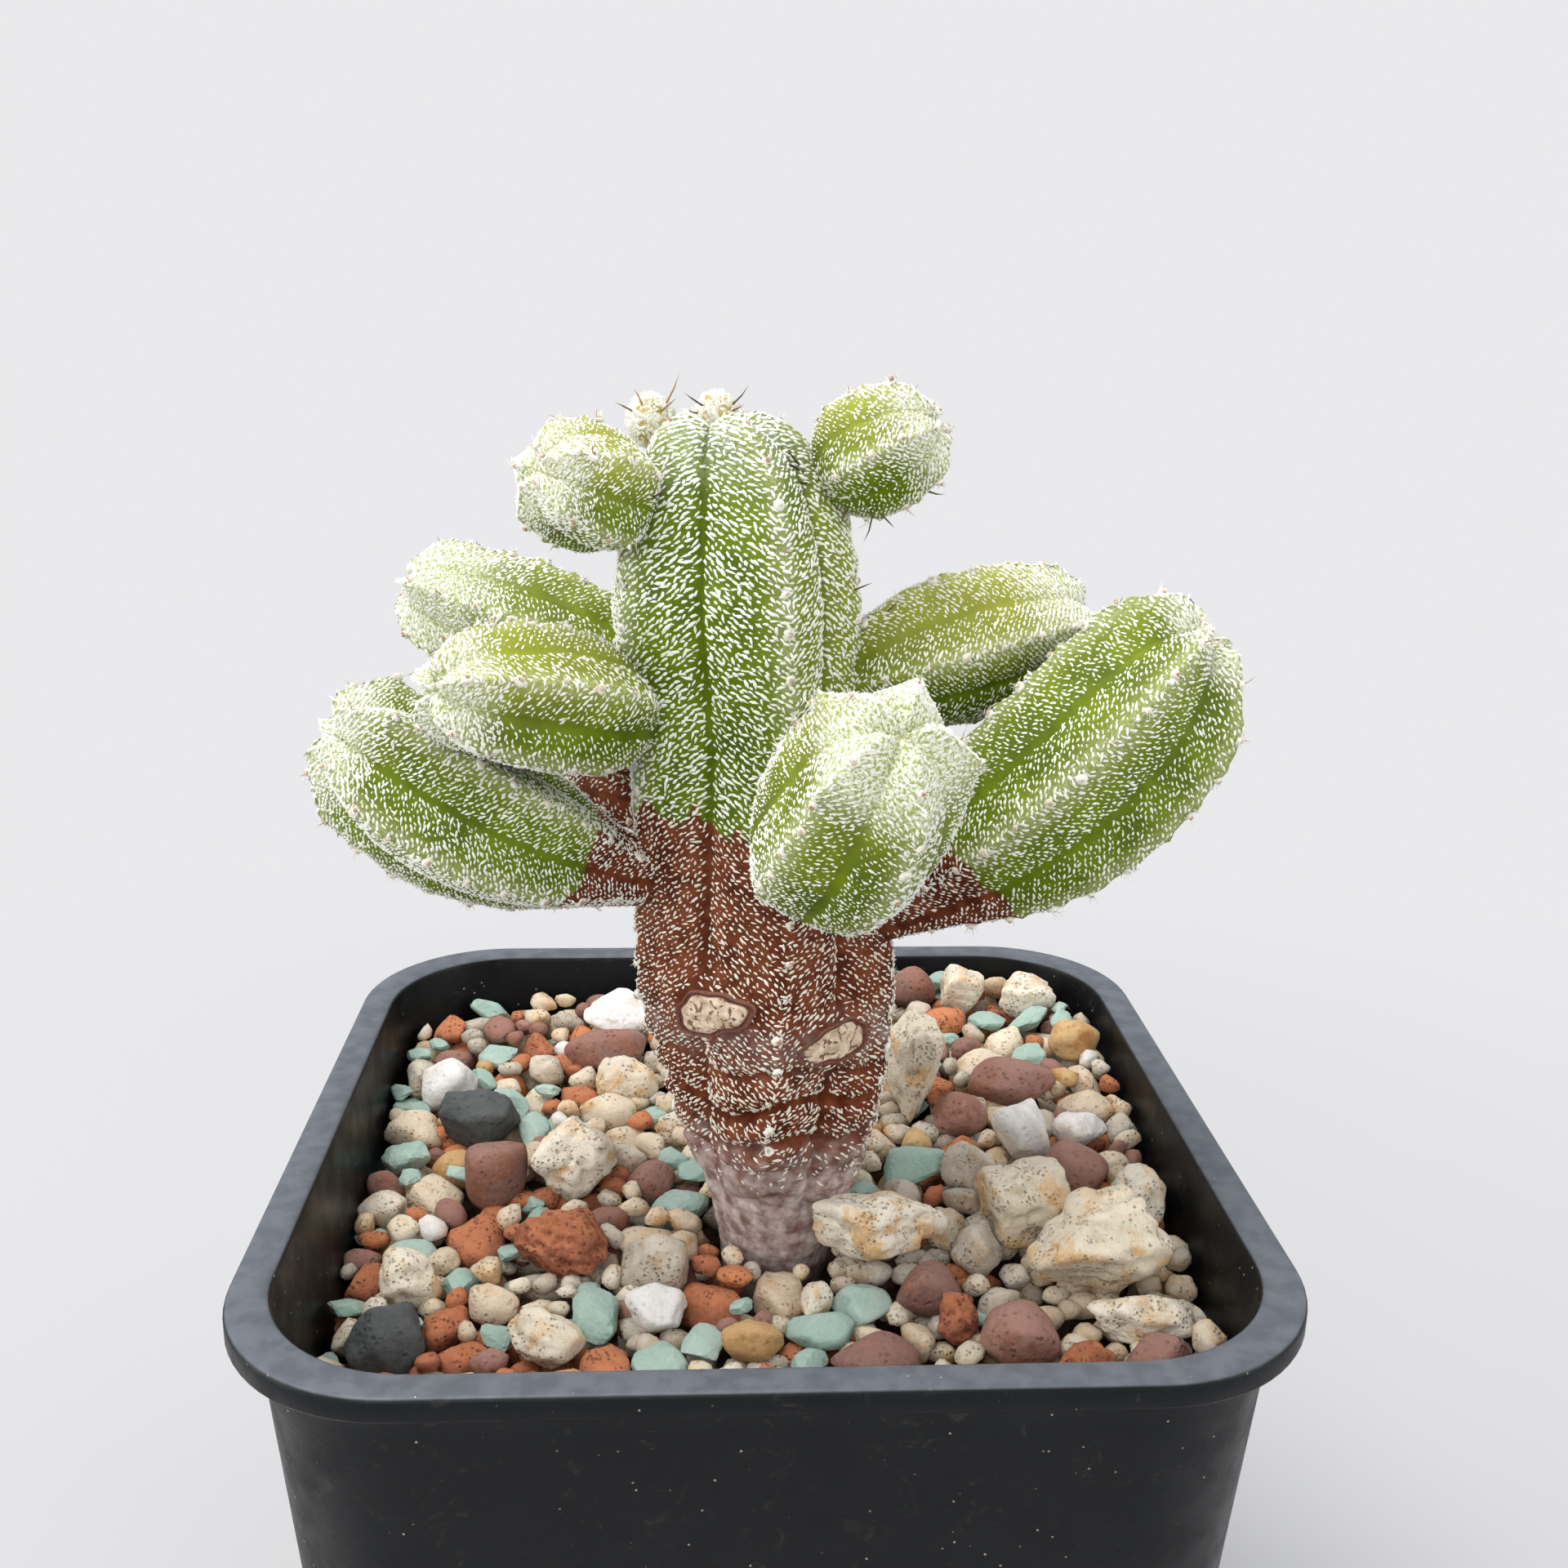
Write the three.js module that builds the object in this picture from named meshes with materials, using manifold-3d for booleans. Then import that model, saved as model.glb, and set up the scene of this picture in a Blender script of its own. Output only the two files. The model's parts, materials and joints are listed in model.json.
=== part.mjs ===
// A monstrose bishop's cap cactus in a square nursery pot, with its offsets and its dressing of mixed stones.
// Millimetres, +Z up. The origin is the middle of the pot's underside, and the plant's photographed side faces -Y.
import * as THREE from "three";
import { mergeVertices } from "three/addons/utils/BufferGeometryUtils.js";
import Module from "manifold-3d";

const wasm = await Module();
wasm.setup();

// Driving dimensions of the pot.
const RIM_WIDTH = 89;
const RIM_CORNER = 15.5;
const RIM_FLAT = 3.4;
const LIP_HEIGHT = 2.2;
const POT_HEIGHT = 84;
const WALL = 1.5;
const FLOOR = 2;
const TAPER = 0.084;
const INSIDE_CORNER = 13.3;
const CORNER_TAPER = 0.06;
const RIM_EDGE = 0.5;
const BASE_EDGE = 1;
const DRAIN_HOLE = 8;
const DRAIN_AT = 19;
const CORNER_STEPS = 6;

// Driving dimensions of the filling.
const GAP = 0.3;
const SOIL_TOP = 62;
const GRAVEL_DROP = 7.7;
const GRAVEL_SLOPE_X = 0.05;
const GRAVEL_SLOPE_Y = 0.11;
const BED_UNDER_TOP = 2.6;
const FILL_GAP = 0.35;

// Driving dimensions of the stem.
const STEM_Y = -5.7;
const TWIST_TOP = 125;
const TWIST_PER_MM = 0.9;
const STEM_RIBS = [-58, 24, 84, 156, 228];
const RIB_NOTCH = 0.25;
const AREOLE_STEP = 3.6;
const GROOVE_DEPTH = 0.19;
const FACE_BULGE = 0.6;
const GROOVE_STARTS = [72, 92];
const CROWN_DIP = 1.4;
const CROWN_STARTS = [146, 152];
const FOLDS = [81, 84.5, 89.5, 93];
const FOLD_DEPTH = 0.5;
const FOLD_WIDTH = 0.9;

const degrees = Math.PI / 180;
const up = new THREE.Vector3(0, 0, 1);
const point = (x, y, z) => new THREE.Vector3(x, y, z);

// Materials, one for each kind of surface.
const finish = (color, roughness) => new THREE.MeshStandardMaterial({ color, roughness, metalness: 0 });
const blackPlastic = () => finish(0x2b2d2f, 0.55);
const pottingMix = () => finish(0x4a3526, 0.95);
const greenSkin = () => finish(0x8da25c, 0.7);
const stoneFinishes = {
  gravel: () => finish(0xb79c7c, 0.9),
  pumice: () => finish(0xd8c6a8, 0.95),
  white: () => finish(0xece8e2, 0.85),
  maroon: () => finish(0x7c5650, 0.75),
  brick: () => finish(0xc2603c, 0.85),
  teal: () => finish(0x9dbcb0, 0.8),
  ochre: () => finish(0xc79a5a, 0.8),
  grey: () => finish(0xb0a79b, 0.9),
  charcoal: () => finish(0x3b4048, 0.8),
};

// Closed solids from geometries, and back.
function solid(geometry) {
  const bare = geometry.clone();
  for (const name of Object.keys(bare.attributes)) {
    if (name !== "position") bare.deleteAttribute(name);
  }
  const merged = mergeVertices(bare, 1e-4);
  const vertProperties = new Float32Array(merged.attributes.position.array);
  const triVerts = new Uint32Array(merged.index.array);
  return new wasm.Manifold(new wasm.Mesh({ numProp: 3, vertProperties, triVerts }));
}

function geometryOf(body) {
  const mesh = body.getMesh();
  const geometry = new THREE.BufferGeometry();
  geometry.setAttribute("position", new THREE.BufferAttribute(new Float32Array(mesh.vertProperties), 3));
  geometry.setIndex(new THREE.BufferAttribute(new Uint32Array(mesh.triVerts), 1));
  geometry.computeVertexNormals();
  return geometry;
}

const joined = (bodies) => wasm.Manifold.union(bodies);

// The largest body of a solid: a loose scrap that a cut leaves is dropped.
function largest(body) {
  const parts = body.decompose();
  return parts.reduce((best, part) => (part.volume() > best.volume() ? part : best));
}

// One skin over a stack of rings with equal numbers of points, closed by a fan at each end.
function skin(rings, firstCentre, lastCentre) {
  const count = rings[0].length;
  const points = [firstCentre, ...rings.flat(), lastCentre];
  const faces = [];
  const at = (ring, i) => 1 + ring * count + (i % count);
  for (let i = 0; i < count; i++) {
    faces.push(0, at(0, i + 1), at(0, i));
    for (let ring = 0; ring + 1 < rings.length; ring++) {
      faces.push(at(ring, i), at(ring, i + 1), at(ring + 1, i + 1));
      faces.push(at(ring, i), at(ring + 1, i + 1), at(ring + 1, i));
    }
    faces.push(at(rings.length - 1, i), at(rings.length - 1, i + 1), points.length - 1);
  }
  const geometry = new THREE.BufferGeometry().setFromPoints(points);
  geometry.setIndex(faces);
  return geometry;
}

// Repeatable random numbers from 0 to 1.
function dice(seed) {
  let state = seed;
  return () => {
    state = (state * 16807) % 2147483647;
    return state / 2147483647;
  };
}

// A smooth value through evenly spaced rows of numbers, at a place from 0 to 1.
function smooth(rows, place) {
  const reach = Math.min(Math.max(place, 0), 1) * (rows.length - 1);
  const i = Math.min(Math.floor(reach), rows.length - 2);
  const u = reach - i;
  const row = (k) => rows[Math.min(Math.max(k, 0), rows.length - 1)];
  return row(i).map((b, n) => {
    const a = row(i - 1)[n];
    const c = row(i + 1)[n];
    const d = row(i + 2)[n];
    return b + 0.5 * u * (c - a + u * (2 * a - 5 * b + 4 * c - d + u * (3 * (b - c) + d - a)));
  });
}

// The pot: a square with rounded corners, lofted up the outside, over the rim and down the inside.
function roundedSquare(half, corner, z) {
  const ring = [];
  for (let quarter = 0; quarter < 4; quarter++) {
    const middle = (45 + 90 * quarter) * degrees;
    const reach = (half - corner) * Math.SQRT2;
    for (let step = 0; step <= CORNER_STEPS; step++) {
      const angle = (90 * quarter + (90 * step) / CORNER_STEPS) * degrees;
      const x = reach * Math.cos(middle) + corner * Math.cos(angle);
      const y = reach * Math.sin(middle) + corner * Math.sin(angle);
      ring.push(point(x, y, z));
    }
  }
  return ring;
}

const insideHalf = (z) => RIM_WIDTH / 2 - RIM_FLAT - TAPER * (POT_HEIGHT - z);
const insideCorner = (z) => INSIDE_CORNER - CORNER_TAPER * (POT_HEIGHT - z);

function pot() {
  const rim = RIM_WIDTH / 2;
  const top = POT_HEIGHT;
  const lip = top - LIP_HEIGHT;
  const outside = (z) => insideHalf(z) + WALL;
  const outsideCorner = (z) => insideCorner(z) + WALL;
  const rings = [
    roundedSquare(outside(0) - BASE_EDGE, outsideCorner(0) - BASE_EDGE, 0),
    roundedSquare(outside(BASE_EDGE), outsideCorner(BASE_EDGE), BASE_EDGE),
    roundedSquare(outside(lip), outsideCorner(lip), lip),
    roundedSquare(rim - RIM_EDGE, RIM_CORNER - RIM_EDGE, lip),
    roundedSquare(rim, RIM_CORNER, lip + RIM_EDGE),
    roundedSquare(rim, RIM_CORNER, top - RIM_EDGE),
    roundedSquare(rim - RIM_EDGE, RIM_CORNER - RIM_EDGE, top),
    roundedSquare(insideHalf(top) + RIM_EDGE, insideCorner(top) + RIM_EDGE, top),
    roundedSquare(insideHalf(top - RIM_EDGE), insideCorner(top - RIM_EDGE), top - RIM_EDGE),
    roundedSquare(insideHalf(FLOOR + BASE_EDGE), insideCorner(FLOOR + BASE_EDGE), FLOOR + BASE_EDGE),
    roundedSquare(insideHalf(FLOOR) - BASE_EDGE, insideCorner(FLOOR) - BASE_EDGE, FLOOR),
  ];
  let body = solid(skin(rings, point(0, 0, 0), point(0, 0, FLOOR)));
  for (const x of [-DRAIN_AT, DRAIN_AT]) {
    for (const y of [-DRAIN_AT, DRAIN_AT]) {
      const hole = new THREE.CylinderGeometry(DRAIN_HOLE / 2, DRAIN_HOLE / 2, 4 * FLOOR, 14);
      hole.rotateX(Math.PI / 2).translate(x, y, FLOOR / 2);
      body = body.subtract(solid(hole));
    }
  }
  return body;
}

// The main stem: height over the pot's base, place of its axis in X, and radius over its crests, from root to crown.
const STEM_LINE = [
  [50, 1.0, 1.0],
  [60, 1.0, 3.2],
  [68, 1.2, 4.4],
  [75, 1.7, 6.0],
  [80, 1.9, 7.4],
  [85, 1.7, 9.4],
  [90, 1.5, 10.7],
  [96, 1.0, 11.7],
  [102, 0.4, 12.4],
  [109, -0.2, 12.0],
  [116, -1.2, 11.4],
  [123, -2.1, 10.9],
  [130, -2.8, 10.9],
  [137, -3.2, 11.2],
  [143, -3.3, 10.3],
  [148, -3.6, 8.6],
  [151.4, -4.1, 6.2],
  [152.9, -4.5, 3.4],
];
const STEM_CROWN = 151.2;
const STEM_RINGS = 34;

const twistAt = (z) => -TWIST_PER_MM * Math.max(0, TWIST_TOP - z);

// How far round from a crest (1) to the groove beside it (0) an angle lies, for ribs at these angles.
function crestShare(angle, ribs) {
  const turned = ribs.map((rib) => (((angle - rib) % 360) + 360) % 360);
  const past = Math.min(...turned);
  const before = 360 - Math.max(...turned);
  return 1 - Math.min(past, before) / ((past + before) / 2);
}

// Angles round a ring: each crest, the groove beside it, and places between them on both faces.
function angleFan(ribs, between) {
  const angles = [];
  ribs.forEach((rib, i) => {
    const next = i + 1 < ribs.length ? ribs[i + 1] : ribs[0] + 360;
    const steps = 2 * (between + 1);
    for (let step = 0; step < steps; step++) angles.push(rib + ((next - rib) * step) / steps);
  });
  return angles;
}

// The notched edge of a rib: a low swelling at each areole.
const notch = (along) => RIB_NOTCH * Math.cos((2 * Math.PI * along) / AREOLE_STEP);

function fold(z) {
  return FOLDS.reduce((sum, at) => sum - FOLD_DEPTH * Math.exp(-(((z - at) / FOLD_WIDTH) ** 2)), 0);
}

function stem(extra) {
  const rings = [];
  for (let ring = 0; ring < STEM_RINGS; ring++) {
    const [z, x, radius] = smooth(STEM_LINE, ring / (STEM_RINGS - 1));
    const rooted = THREE.MathUtils.smoothstep(z, ...GROOVE_STARTS);
    const groove = 1 - GROOVE_DEPTH * rooted;
    const dip = CROWN_DIP * THREE.MathUtils.smoothstep(z, ...CROWN_STARTS);
    rings.push(
      angleFan(STEM_RIBS, 2).map((angle) => {
        const share = crestShare(angle, STEM_RIBS);
        const soft = share ** FACE_BULGE;
        const reach = radius * (groove + (1 - groove) * soft) + rooted * share ** 3 * notch(z) + fold(z) + extra;
        const turn = (angle + twistAt(z)) * degrees;
        return point(x + reach * Math.sin(turn), STEM_Y - reach * Math.cos(turn), z - dip * (1 - soft));
      }),
    );
  }
  const [rootZ, rootX] = STEM_LINE[0];
  const crownX = STEM_LINE.at(-1)[1];
  return solid(skin(rings, point(rootX, STEM_Y, rootZ - extra), point(crownX, STEM_Y, STEM_CROWN + extra)));
}

// A bump, scar or bud placed by its height on the stem and its angle round it.
function onStem(z, angle, out) {
  const row = STEM_LINE.findIndex((line) => line[0] >= z);
  const [z0, x0, r0] = STEM_LINE[row - 1];
  const [z1, x1, r1] = STEM_LINE[row];
  const u = (z - z0) / (z1 - z0);
  const reach = r0 + (r1 - r0) * u + out;
  const turn = angle * degrees;
  return point(x0 + (x1 - x0) * u + reach * Math.sin(turn), STEM_Y - reach * Math.cos(turn), z);
}

// A scar: a shallow round pit in the bark where an offset was taken away, a little wider than high.
function scarPit(z, angle, width) {
  const pit = new THREE.CylinderGeometry(width / 2, width / 2, SCAR_DEPTH * 2, 12).scale(1, 1, SCAR_SQUEEZE);
  const out = point(Math.sin(angle * degrees), -Math.cos(angle * degrees), 0);
  const turn = new THREE.Quaternion().setFromUnitVectors(point(0, 1, 0), out);
  const place = onStem(z, angle, SCAR_DEPTH - SCAR_SUNK);
  pit.applyQuaternion(turn).translate(place.x, place.y, place.z);
  return solid(pit);
}

// A three-sided spine standing on a point, with a short root in the body under it.
const SPINE_RADIUS = 0.24;
const SPINE_ROOT = 0.6;

function spine(foot, direction, length) {
  const whole = length + SPINE_ROOT;
  const cone = new THREE.ConeGeometry(SPINE_RADIUS, whole, 3).translate(0, whole / 2 - SPINE_ROOT, 0);
  cone.applyQuaternion(new THREE.Quaternion().setFromUnitVectors(point(0, 1, 0), direction.clone().normalize()));
  return solid(cone.translate(foot.x, foot.y, foot.z));
}

function bud(centre, radius) {
  const ball = new THREE.IcosahedronGeometry(radius, 1).scale(1, 1, BUD_STRETCH);
  return solid(ball.translate(centre.x, centre.y, centre.z));
}

const BUDS = [
  { at: point(-10.3, -2.6, 151.8), radius: 2.1 },
  { at: point(-4.6, -5.4, 152.6), radius: 1.8 },
];
const SCARS = [
  { z: 101.8, angle: -27, width: 6.4 },
  { z: 98.7, angle: 27, width: 5.9 },
];
const SCAR_DEPTH = 1.5;
const SCAR_SUNK = 1.6;
const SCAR_SQUEEZE = 0.72;
const BUD_STRETCH = 1.12;

// Spines of the crown: foot, direction and length.
const CROWN_SPINES = [
  [-10.3, -2.6, 151.8, -0.9, -0.3, 0.5, 3.6],
  [-10.3, -2.6, 151.8, -0.3, -0.8, 0.9, 3.6],
  [-10.3, -2.6, 151.8, 0.7, -0.2, 0.9, 4.6],
  [-4.6, -5.4, 152.6, -0.9, -0.2, 0.6, 3.8],
  [-4.6, -5.4, 152.6, 0.9, -0.2, 0.7, 3.8],
  [-4.6, -5.4, 152.6, 0.1, -0.9, 0.6, 3.0],
];

// Young areoles on the crests carry a short spine, clear of the offsets.
const CREST_SPINE = 1.8;
const CREST_SPINES = [
  [24, 132],
  [24, 139],
  [24, 146],
  [-58, 137],
  [84, 139],
  [156, 134],
  [156, 142],
  [228, 140],
  [228, 146],
];

function crestSpines() {
  return CREST_SPINES.map(([rib, z]) => {
    const angle = rib + twistAt(z);
    const out = point(Math.sin(angle * degrees), -Math.cos(angle * degrees), 0.35);
    return spine(onStem(z, angle, -GAP), out, CREST_SPINE);
  });
}

function mainStem() {
  const crown = CROWN_SPINES.map(([x, y, z, a, b, c, length]) => spine(point(x, y, z), point(a, b, c), length));
  const buds = BUDS.map(({ at, radius }) => bud(at, radius));
  let body = joined([stem(0), ...buds, ...crown, ...crestSpines()]);
  for (const { z, angle, width } of SCARS) body = body.subtract(scarPit(z, angle, width));
  return largest(body);
}

// The offsets. Rows along a form: place along the axis, radius share, groove share and how far the groove lags.
const LONG = [
  [0.0, 0.34, 0.95, 0.0],
  [0.07, 0.42, 0.93, 0.0],
  [0.17, 0.55, 0.88, 0.0],
  [0.31, 0.8, 0.8, 0.0],
  [0.47, 0.96, 0.76, 0.0],
  [0.63, 1.0, 0.75, 0.0],
  [0.78, 0.94, 0.74, 0.01],
  [0.89, 0.78, 0.7, 0.02],
  [0.96, 0.57, 0.66, 0.035],
  [1.0, 0.34, 0.62, 0.05],
  [0.985, 0.14, 0.8, 0.03],
];
const PLUMP = [
  [0.0, 0.36, 0.95, 0.0],
  [0.05, 0.5, 0.92, 0.0],
  [0.13, 0.72, 0.86, 0.0],
  [0.26, 0.92, 0.8, 0.0],
  [0.42, 1.0, 0.77, 0.0],
  [0.58, 0.99, 0.76, 0.0],
  [0.74, 0.9, 0.74, 0.01],
  [0.87, 0.73, 0.7, 0.03],
  [0.96, 0.52, 0.64, 0.05],
  [1.0, 0.31, 0.6, 0.06],
  [0.98, 0.13, 0.8, 0.03],
];
const APEX = 0.945;

// Each offset: its foot on the stem, its tip, how far its middle sags or rises, its radius and its first rib's angle.
const OFFSETS = [
  {
    name: "offset_upper_left",
    foot: [-11.0, -9.2, 145.2],
    tip: [-19.3, -16.8, 148.9],
    bow: 0.0,
    radius: 5.5,
    rib: 10,
    form: PLUMP,
    rings: 10,
  },
  {
    name: "offset_upper_right",
    foot: [4.4, -6.4, 147.0],
    tip: [14.0, -9.6, 152.4],
    bow: 0.3,
    radius: 5.5,
    rib: 22,
    form: PLUMP,
    rings: 10,
  },
  {
    name: "offset_middle_left",
    foot: [-10.6, -10.4, 127.0],
    tip: [-27.2, -23.6, 132.6],
    bow: 0.3,
    radius: 6.3,
    rib: -68,
    form: PLUMP,
    rings: 13,
  },
  {
    name: "offset_back_left",
    foot: [-9.6, 1.2, 127.6],
    tip: [-34.0, 9.2, 135.4],
    bow: 0.4,
    radius: 6.4,
    rib: -72,
    form: PLUMP,
    rings: 13,
  },
  {
    name: "offset_lower_left",
    foot: [-10.0, -9.0, 111.8],
    tip: [-36.9, -16.4, 128.0],
    bow: -1.9,
    radius: 7.8,
    rib: -46,
    form: LONG,
    rings: 16,
  },
  {
    name: "offset_stub_left",
    foot: [-8.5, 0.6, 115.2],
    tip: [-19.2, 4.4, 117.4],
    bow: 0.0,
    radius: 3.0,
    rib: -40,
    form: PLUMP,
    rings: 8,
  },
  {
    name: "offset_front",
    foot: [3.0, -15.2, 114.4],
    tip: [8.9, -36.0, 132.8],
    bow: -1.2,
    radius: 8.0,
    rib: 0,
    form: PLUMP,
    rings: 14,
  },
  {
    name: "offset_middle_right",
    foot: [6.6, -5.6, 129.0],
    tip: [29.6, -0.6, 134.6],
    bow: 0.6,
    radius: 7.0,
    rib: 84,
    form: PLUMP,
    rings: 14,
  },
  {
    name: "offset_lower_right",
    foot: [9.6, -8.6, 108.6],
    tip: [37.2, -14.4, 136.2],
    bow: -2.4,
    radius: 9.5,
    rib: 80,
    form: LONG,
    rings: 18,
  },
];

function offset({ foot, tip, bow, radius, rib, form, rings }) {
  const start = point(...foot);
  const run = point(...tip).sub(start);
  const length = run.length();
  const forward = run.clone().normalize();
  const upward = up.clone().addScaledVector(forward, -up.dot(forward)).normalize();
  const sideways = forward.clone().cross(upward);
  const ribs = [0, 1, 2, 3, 4].map((i) => rib + 72 * i);
  const place = (along, reach, angle) =>
    start
      .clone()
      .addScaledVector(run, along)
      .addScaledVector(upward, bow * 4 * along * (1 - along) + reach * Math.cos(angle * degrees))
      .addScaledVector(sideways, reach * Math.sin(angle * degrees));
  const stack = [];
  for (let ring = 0; ring < rings; ring++) {
    const [along, width, groove, lag] = smooth(form, ring / (rings - 1));
    stack.push(
      angleFan(ribs, 1).map((angle) => {
        const share = crestShare(angle, ribs);
        const notched = width > 0.5 ? share * notch(along * length) : 0;
        const reach = radius * width * (groove + (1 - groove) * share) + notched;
        return place(along - lag * (1 - share), reach, angle);
      }),
    );
  }
  return solid(skin(stack, start, place(APEX, 0, 0)));
}

// The dressing of stones. Its upper face rises to the back and to the right.
const gravelTop = (x, y) => POT_HEIGHT - GRAVEL_DROP + GRAVEL_SLOPE_X * x + GRAVEL_SLOPE_Y * y;
const bedTop = (x, y) => gravelTop(x, y) - BED_UNDER_TOP;

// A stone: a lumpy ellipsoid, with its lumps set by a seed.
function stone({ at, size, turn, seed, detail, lump }) {
  const geometry = new THREE.IcosahedronGeometry(1, detail);
  const positions = geometry.attributes.position;
  const n = point(0, 0, 0);
  for (let i = 0; i < positions.count; i++) {
    n.fromBufferAttribute(positions, i);
    const waves =
      Math.sin(2.3 * n.x + 1.1 * n.y + 5.1 * seed) +
      Math.sin(2.9 * n.y - 1.7 * n.z + 3.7 * seed) +
      Math.sin(2.6 * n.z + 1.3 * n.x + 8.3 * seed);
    n.multiplyScalar(1 + lump * waves);
    positions.setXYZ(i, n.x, n.y, n.z);
  }
  geometry.scale(size[0] / 2, size[1] / 2, size[2] / 2);
  geometry.rotateZ(turn * degrees).translate(...at);
  return solid(geometry);
}

// The largest stones: kind, place in X and Y, width, depth and height, turn, and lift over the bed.
const LARGE_STONES = [
  ["pumice", 11.0, -13.8, 13.0, 6.0, 7.2, -8, 2.6],
  ["pumice", 25.6, -8.6, 9.2, 8.0, 7.2, 20, 1.0],
  ["pumice", 30.2, -18.6, 14.0, 8.8, 9.2, 8, 2.3],
  ["pumice", 33.2, -23.8, 9.8, 5.4, 4.8, 8, 0.2],
  ["maroon", 22.0, -25.0, 7.2, 6.2, 5.2, 0, 0.2],
  ["maroon", 33.2, -29.0, 6.0, 5.0, 5.0, 0, 0.2],
  ["brick", 27.0, -28.4, 5.6, 4.0, 3.8, 10, 0.2],
  ["maroon", 15.2, -18.4, 6.4, 5.0, 5.0, 0, 0.2],
  ["brick", 16.8, -22.8, 3.8, 4.6, 5.0, 0, 0.2],
  ["teal", 8.6, -18.6, 6.2, 4.4, 3.2, -20, 0.2],
  ["teal", 4.8, -22.0, 6.2, 4.2, 3.2, 10, 0.2],
  ["ochre", -1.4, -23.0, 5.4, 4.6, 4.2, 0, 0.2],
  ["maroon", 9.4, -26.0, 8.2, 4.8, 3.8, -8, 0.2],
  ["white", 27.4, 3.6, 5.8, 5.8, 7.0, 0, 0.6],
  ["white", 33.8, 5.0, 6.4, 4.8, 4.4, 0, 0.2],
  ["maroon", 31.6, -2.4, 6.6, 6.0, 5.4, -15, 0.2],
  ["pumice", 37.0, -7.4, 4.8, 8.4, 6.6, -8, 0.2],
  ["pumice", 17.0, 12.0, 6.6, 8.6, 12.4, 0, 0.2],
  ["maroon", 19.8, 36.0, 5.6, 5.2, 5.6, 0, 0.2],
  ["pumice", 26.0, 34.4, 6.0, 5.6, 6.4, 10, 0.2],
  ["pumice", 33.4, 33.0, 7.6, 5.4, 5.0, -30, 0.2],
  ["ochre", 36.8, 22.8, 5.8, 5.4, 5.4, 0, 0.2],
  ["maroon", 28.6, 14.8, 9.6, 6.6, 5.2, -10, 0.2],
  ["maroon", 22.0, 8.6, 5.6, 5.0, 5.4, 0, 0.2],
  ["grey", 21.2, -1.2, 6.4, 5.2, 5.8, 60, 0.2],
  ["grey", 20.0, -13.6, 4.8, 6.0, 5.6, 0, 0.4],
  ["pumice", -18.4, 2.4, 9.4, 8.2, 8.8, 30, 0.4],
  ["maroon", -26.6, 1.2, 6.4, 6.8, 7.0, 20, 0.4],
  ["brick", -18.8, -9.6, 8.8, 7.4, 7.0, 0, 0.2],
  ["grey", -10.2, -12.4, 7.2, 6.4, 5.6, 15, 0.2],
  ["charcoal", -29.8, 11.8, 9.0, 6.8, 5.8, 20, 0.2],
  ["white", -33.8, 19.4, 6.2, 5.2, 6.6, -30, 0.2],
  ["maroon", -16.6, 25.8, 9.4, 5.4, 5.2, 15, 0.2],
  ["pumice", -14.0, 19.4, 7.6, 5.4, 5.4, 25, 0.2],
  ["white", -15.6, 33.4, 8.2, 5.8, 5.4, 0, 0.2],
  ["charcoal", -33.6, -21.4, 7.2, 6.4, 6.6, 0, 0.2],
  ["pumice", -19.8, -22.4, 7.6, 6.4, 5.4, 0, 0.2],
  ["white", -10.0, -19.0, 6.0, 4.8, 4.8, -30, 0.2],
  ["pumice", -32.6, -13.0, 5.8, 6.6, 6.2, 0, 0.2],
];
const LARGE_LUMP = 0.05;

function largeStones() {
  const counts = {};
  return LARGE_STONES.map(([kind, x, y, width, depth, height, turn, lift], i) => {
    counts[kind] = (counts[kind] ?? 0) + 1;
    const z = bedTop(x, y) + GAP + lift + height / 2;
    const shape = { at: [x, y, z], size: [width, depth, height], turn, seed: i + 1, detail: 1, lump: LARGE_LUMP };
    return { kind, name: `${kind}_stone_${counts[kind]}`, shape };
  });
}

// The small stones of the bed lie on a jittered triangular grid. Each is a cap of six sides whose foot lies in the
// valleys that it shares with its neighbours.
const SMALL_STEP = 6.2;
const ROW_STEP = (SMALL_STEP * Math.sqrt(3)) / 2;
const GRID_REACH = 9;
const JITTER = 1.9;
const RISE = 1.3;
const VALLEY = 2.4;
const CAP_EDGE = 1.5;
const CAP_MIDDLE = 0.7;
const CAP_SHARE = 0.62;
const PRESS_MARGIN = 0.9;

function bedGrid() {
  const draw = dice(4711);
  const centres = new Map();
  for (let row = -GRID_REACH; row <= GRID_REACH; row++) {
    for (let column = -GRID_REACH; column <= GRID_REACH; column++) {
      const x = SMALL_STEP * (column + 0.5 * (Math.abs(row) % 2)) + JITTER * (draw() - 0.5);
      const y = ROW_STEP * row + JITTER * (draw() - 0.5);
      const rise = RISE * draw();
      centres.set(`${row} ${column}`, { x, y, rise });
    }
  }
  return centres;
}

// The six neighbours of a stone in order round it, on rows that lean half a step to the right when odd.
function neighbours(row, column) {
  const lean = Math.abs(row) % 2;
  return [
    [row, column + 1],
    [row + 1, column + lean],
    [row + 1, column + lean - 1],
    [row, column - 1],
    [row - 1, column + lean - 1],
    [row - 1, column + lean],
  ];
}

// The height of the bed at a point, pressed down where a large stone lies on it.
function pressed(x, y, z, large) {
  return large.reduce((height, { shape }) => {
    const [width, depth, thick] = shape.size.map((side) => side / 2 + PRESS_MARGIN);
    const turn = -shape.turn * degrees;
    const dx = x - shape.at[0];
    const dy = y - shape.at[1];
    const across = (dx * Math.cos(turn) - dy * Math.sin(turn)) / width;
    const along = (dx * Math.sin(turn) + dy * Math.cos(turn)) / depth;
    const inside = 1 - across * across - along * along;
    return inside > 0 ? Math.min(height, shape.at[2] - thick * Math.sqrt(inside)) : height;
  }, z);
}

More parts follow.
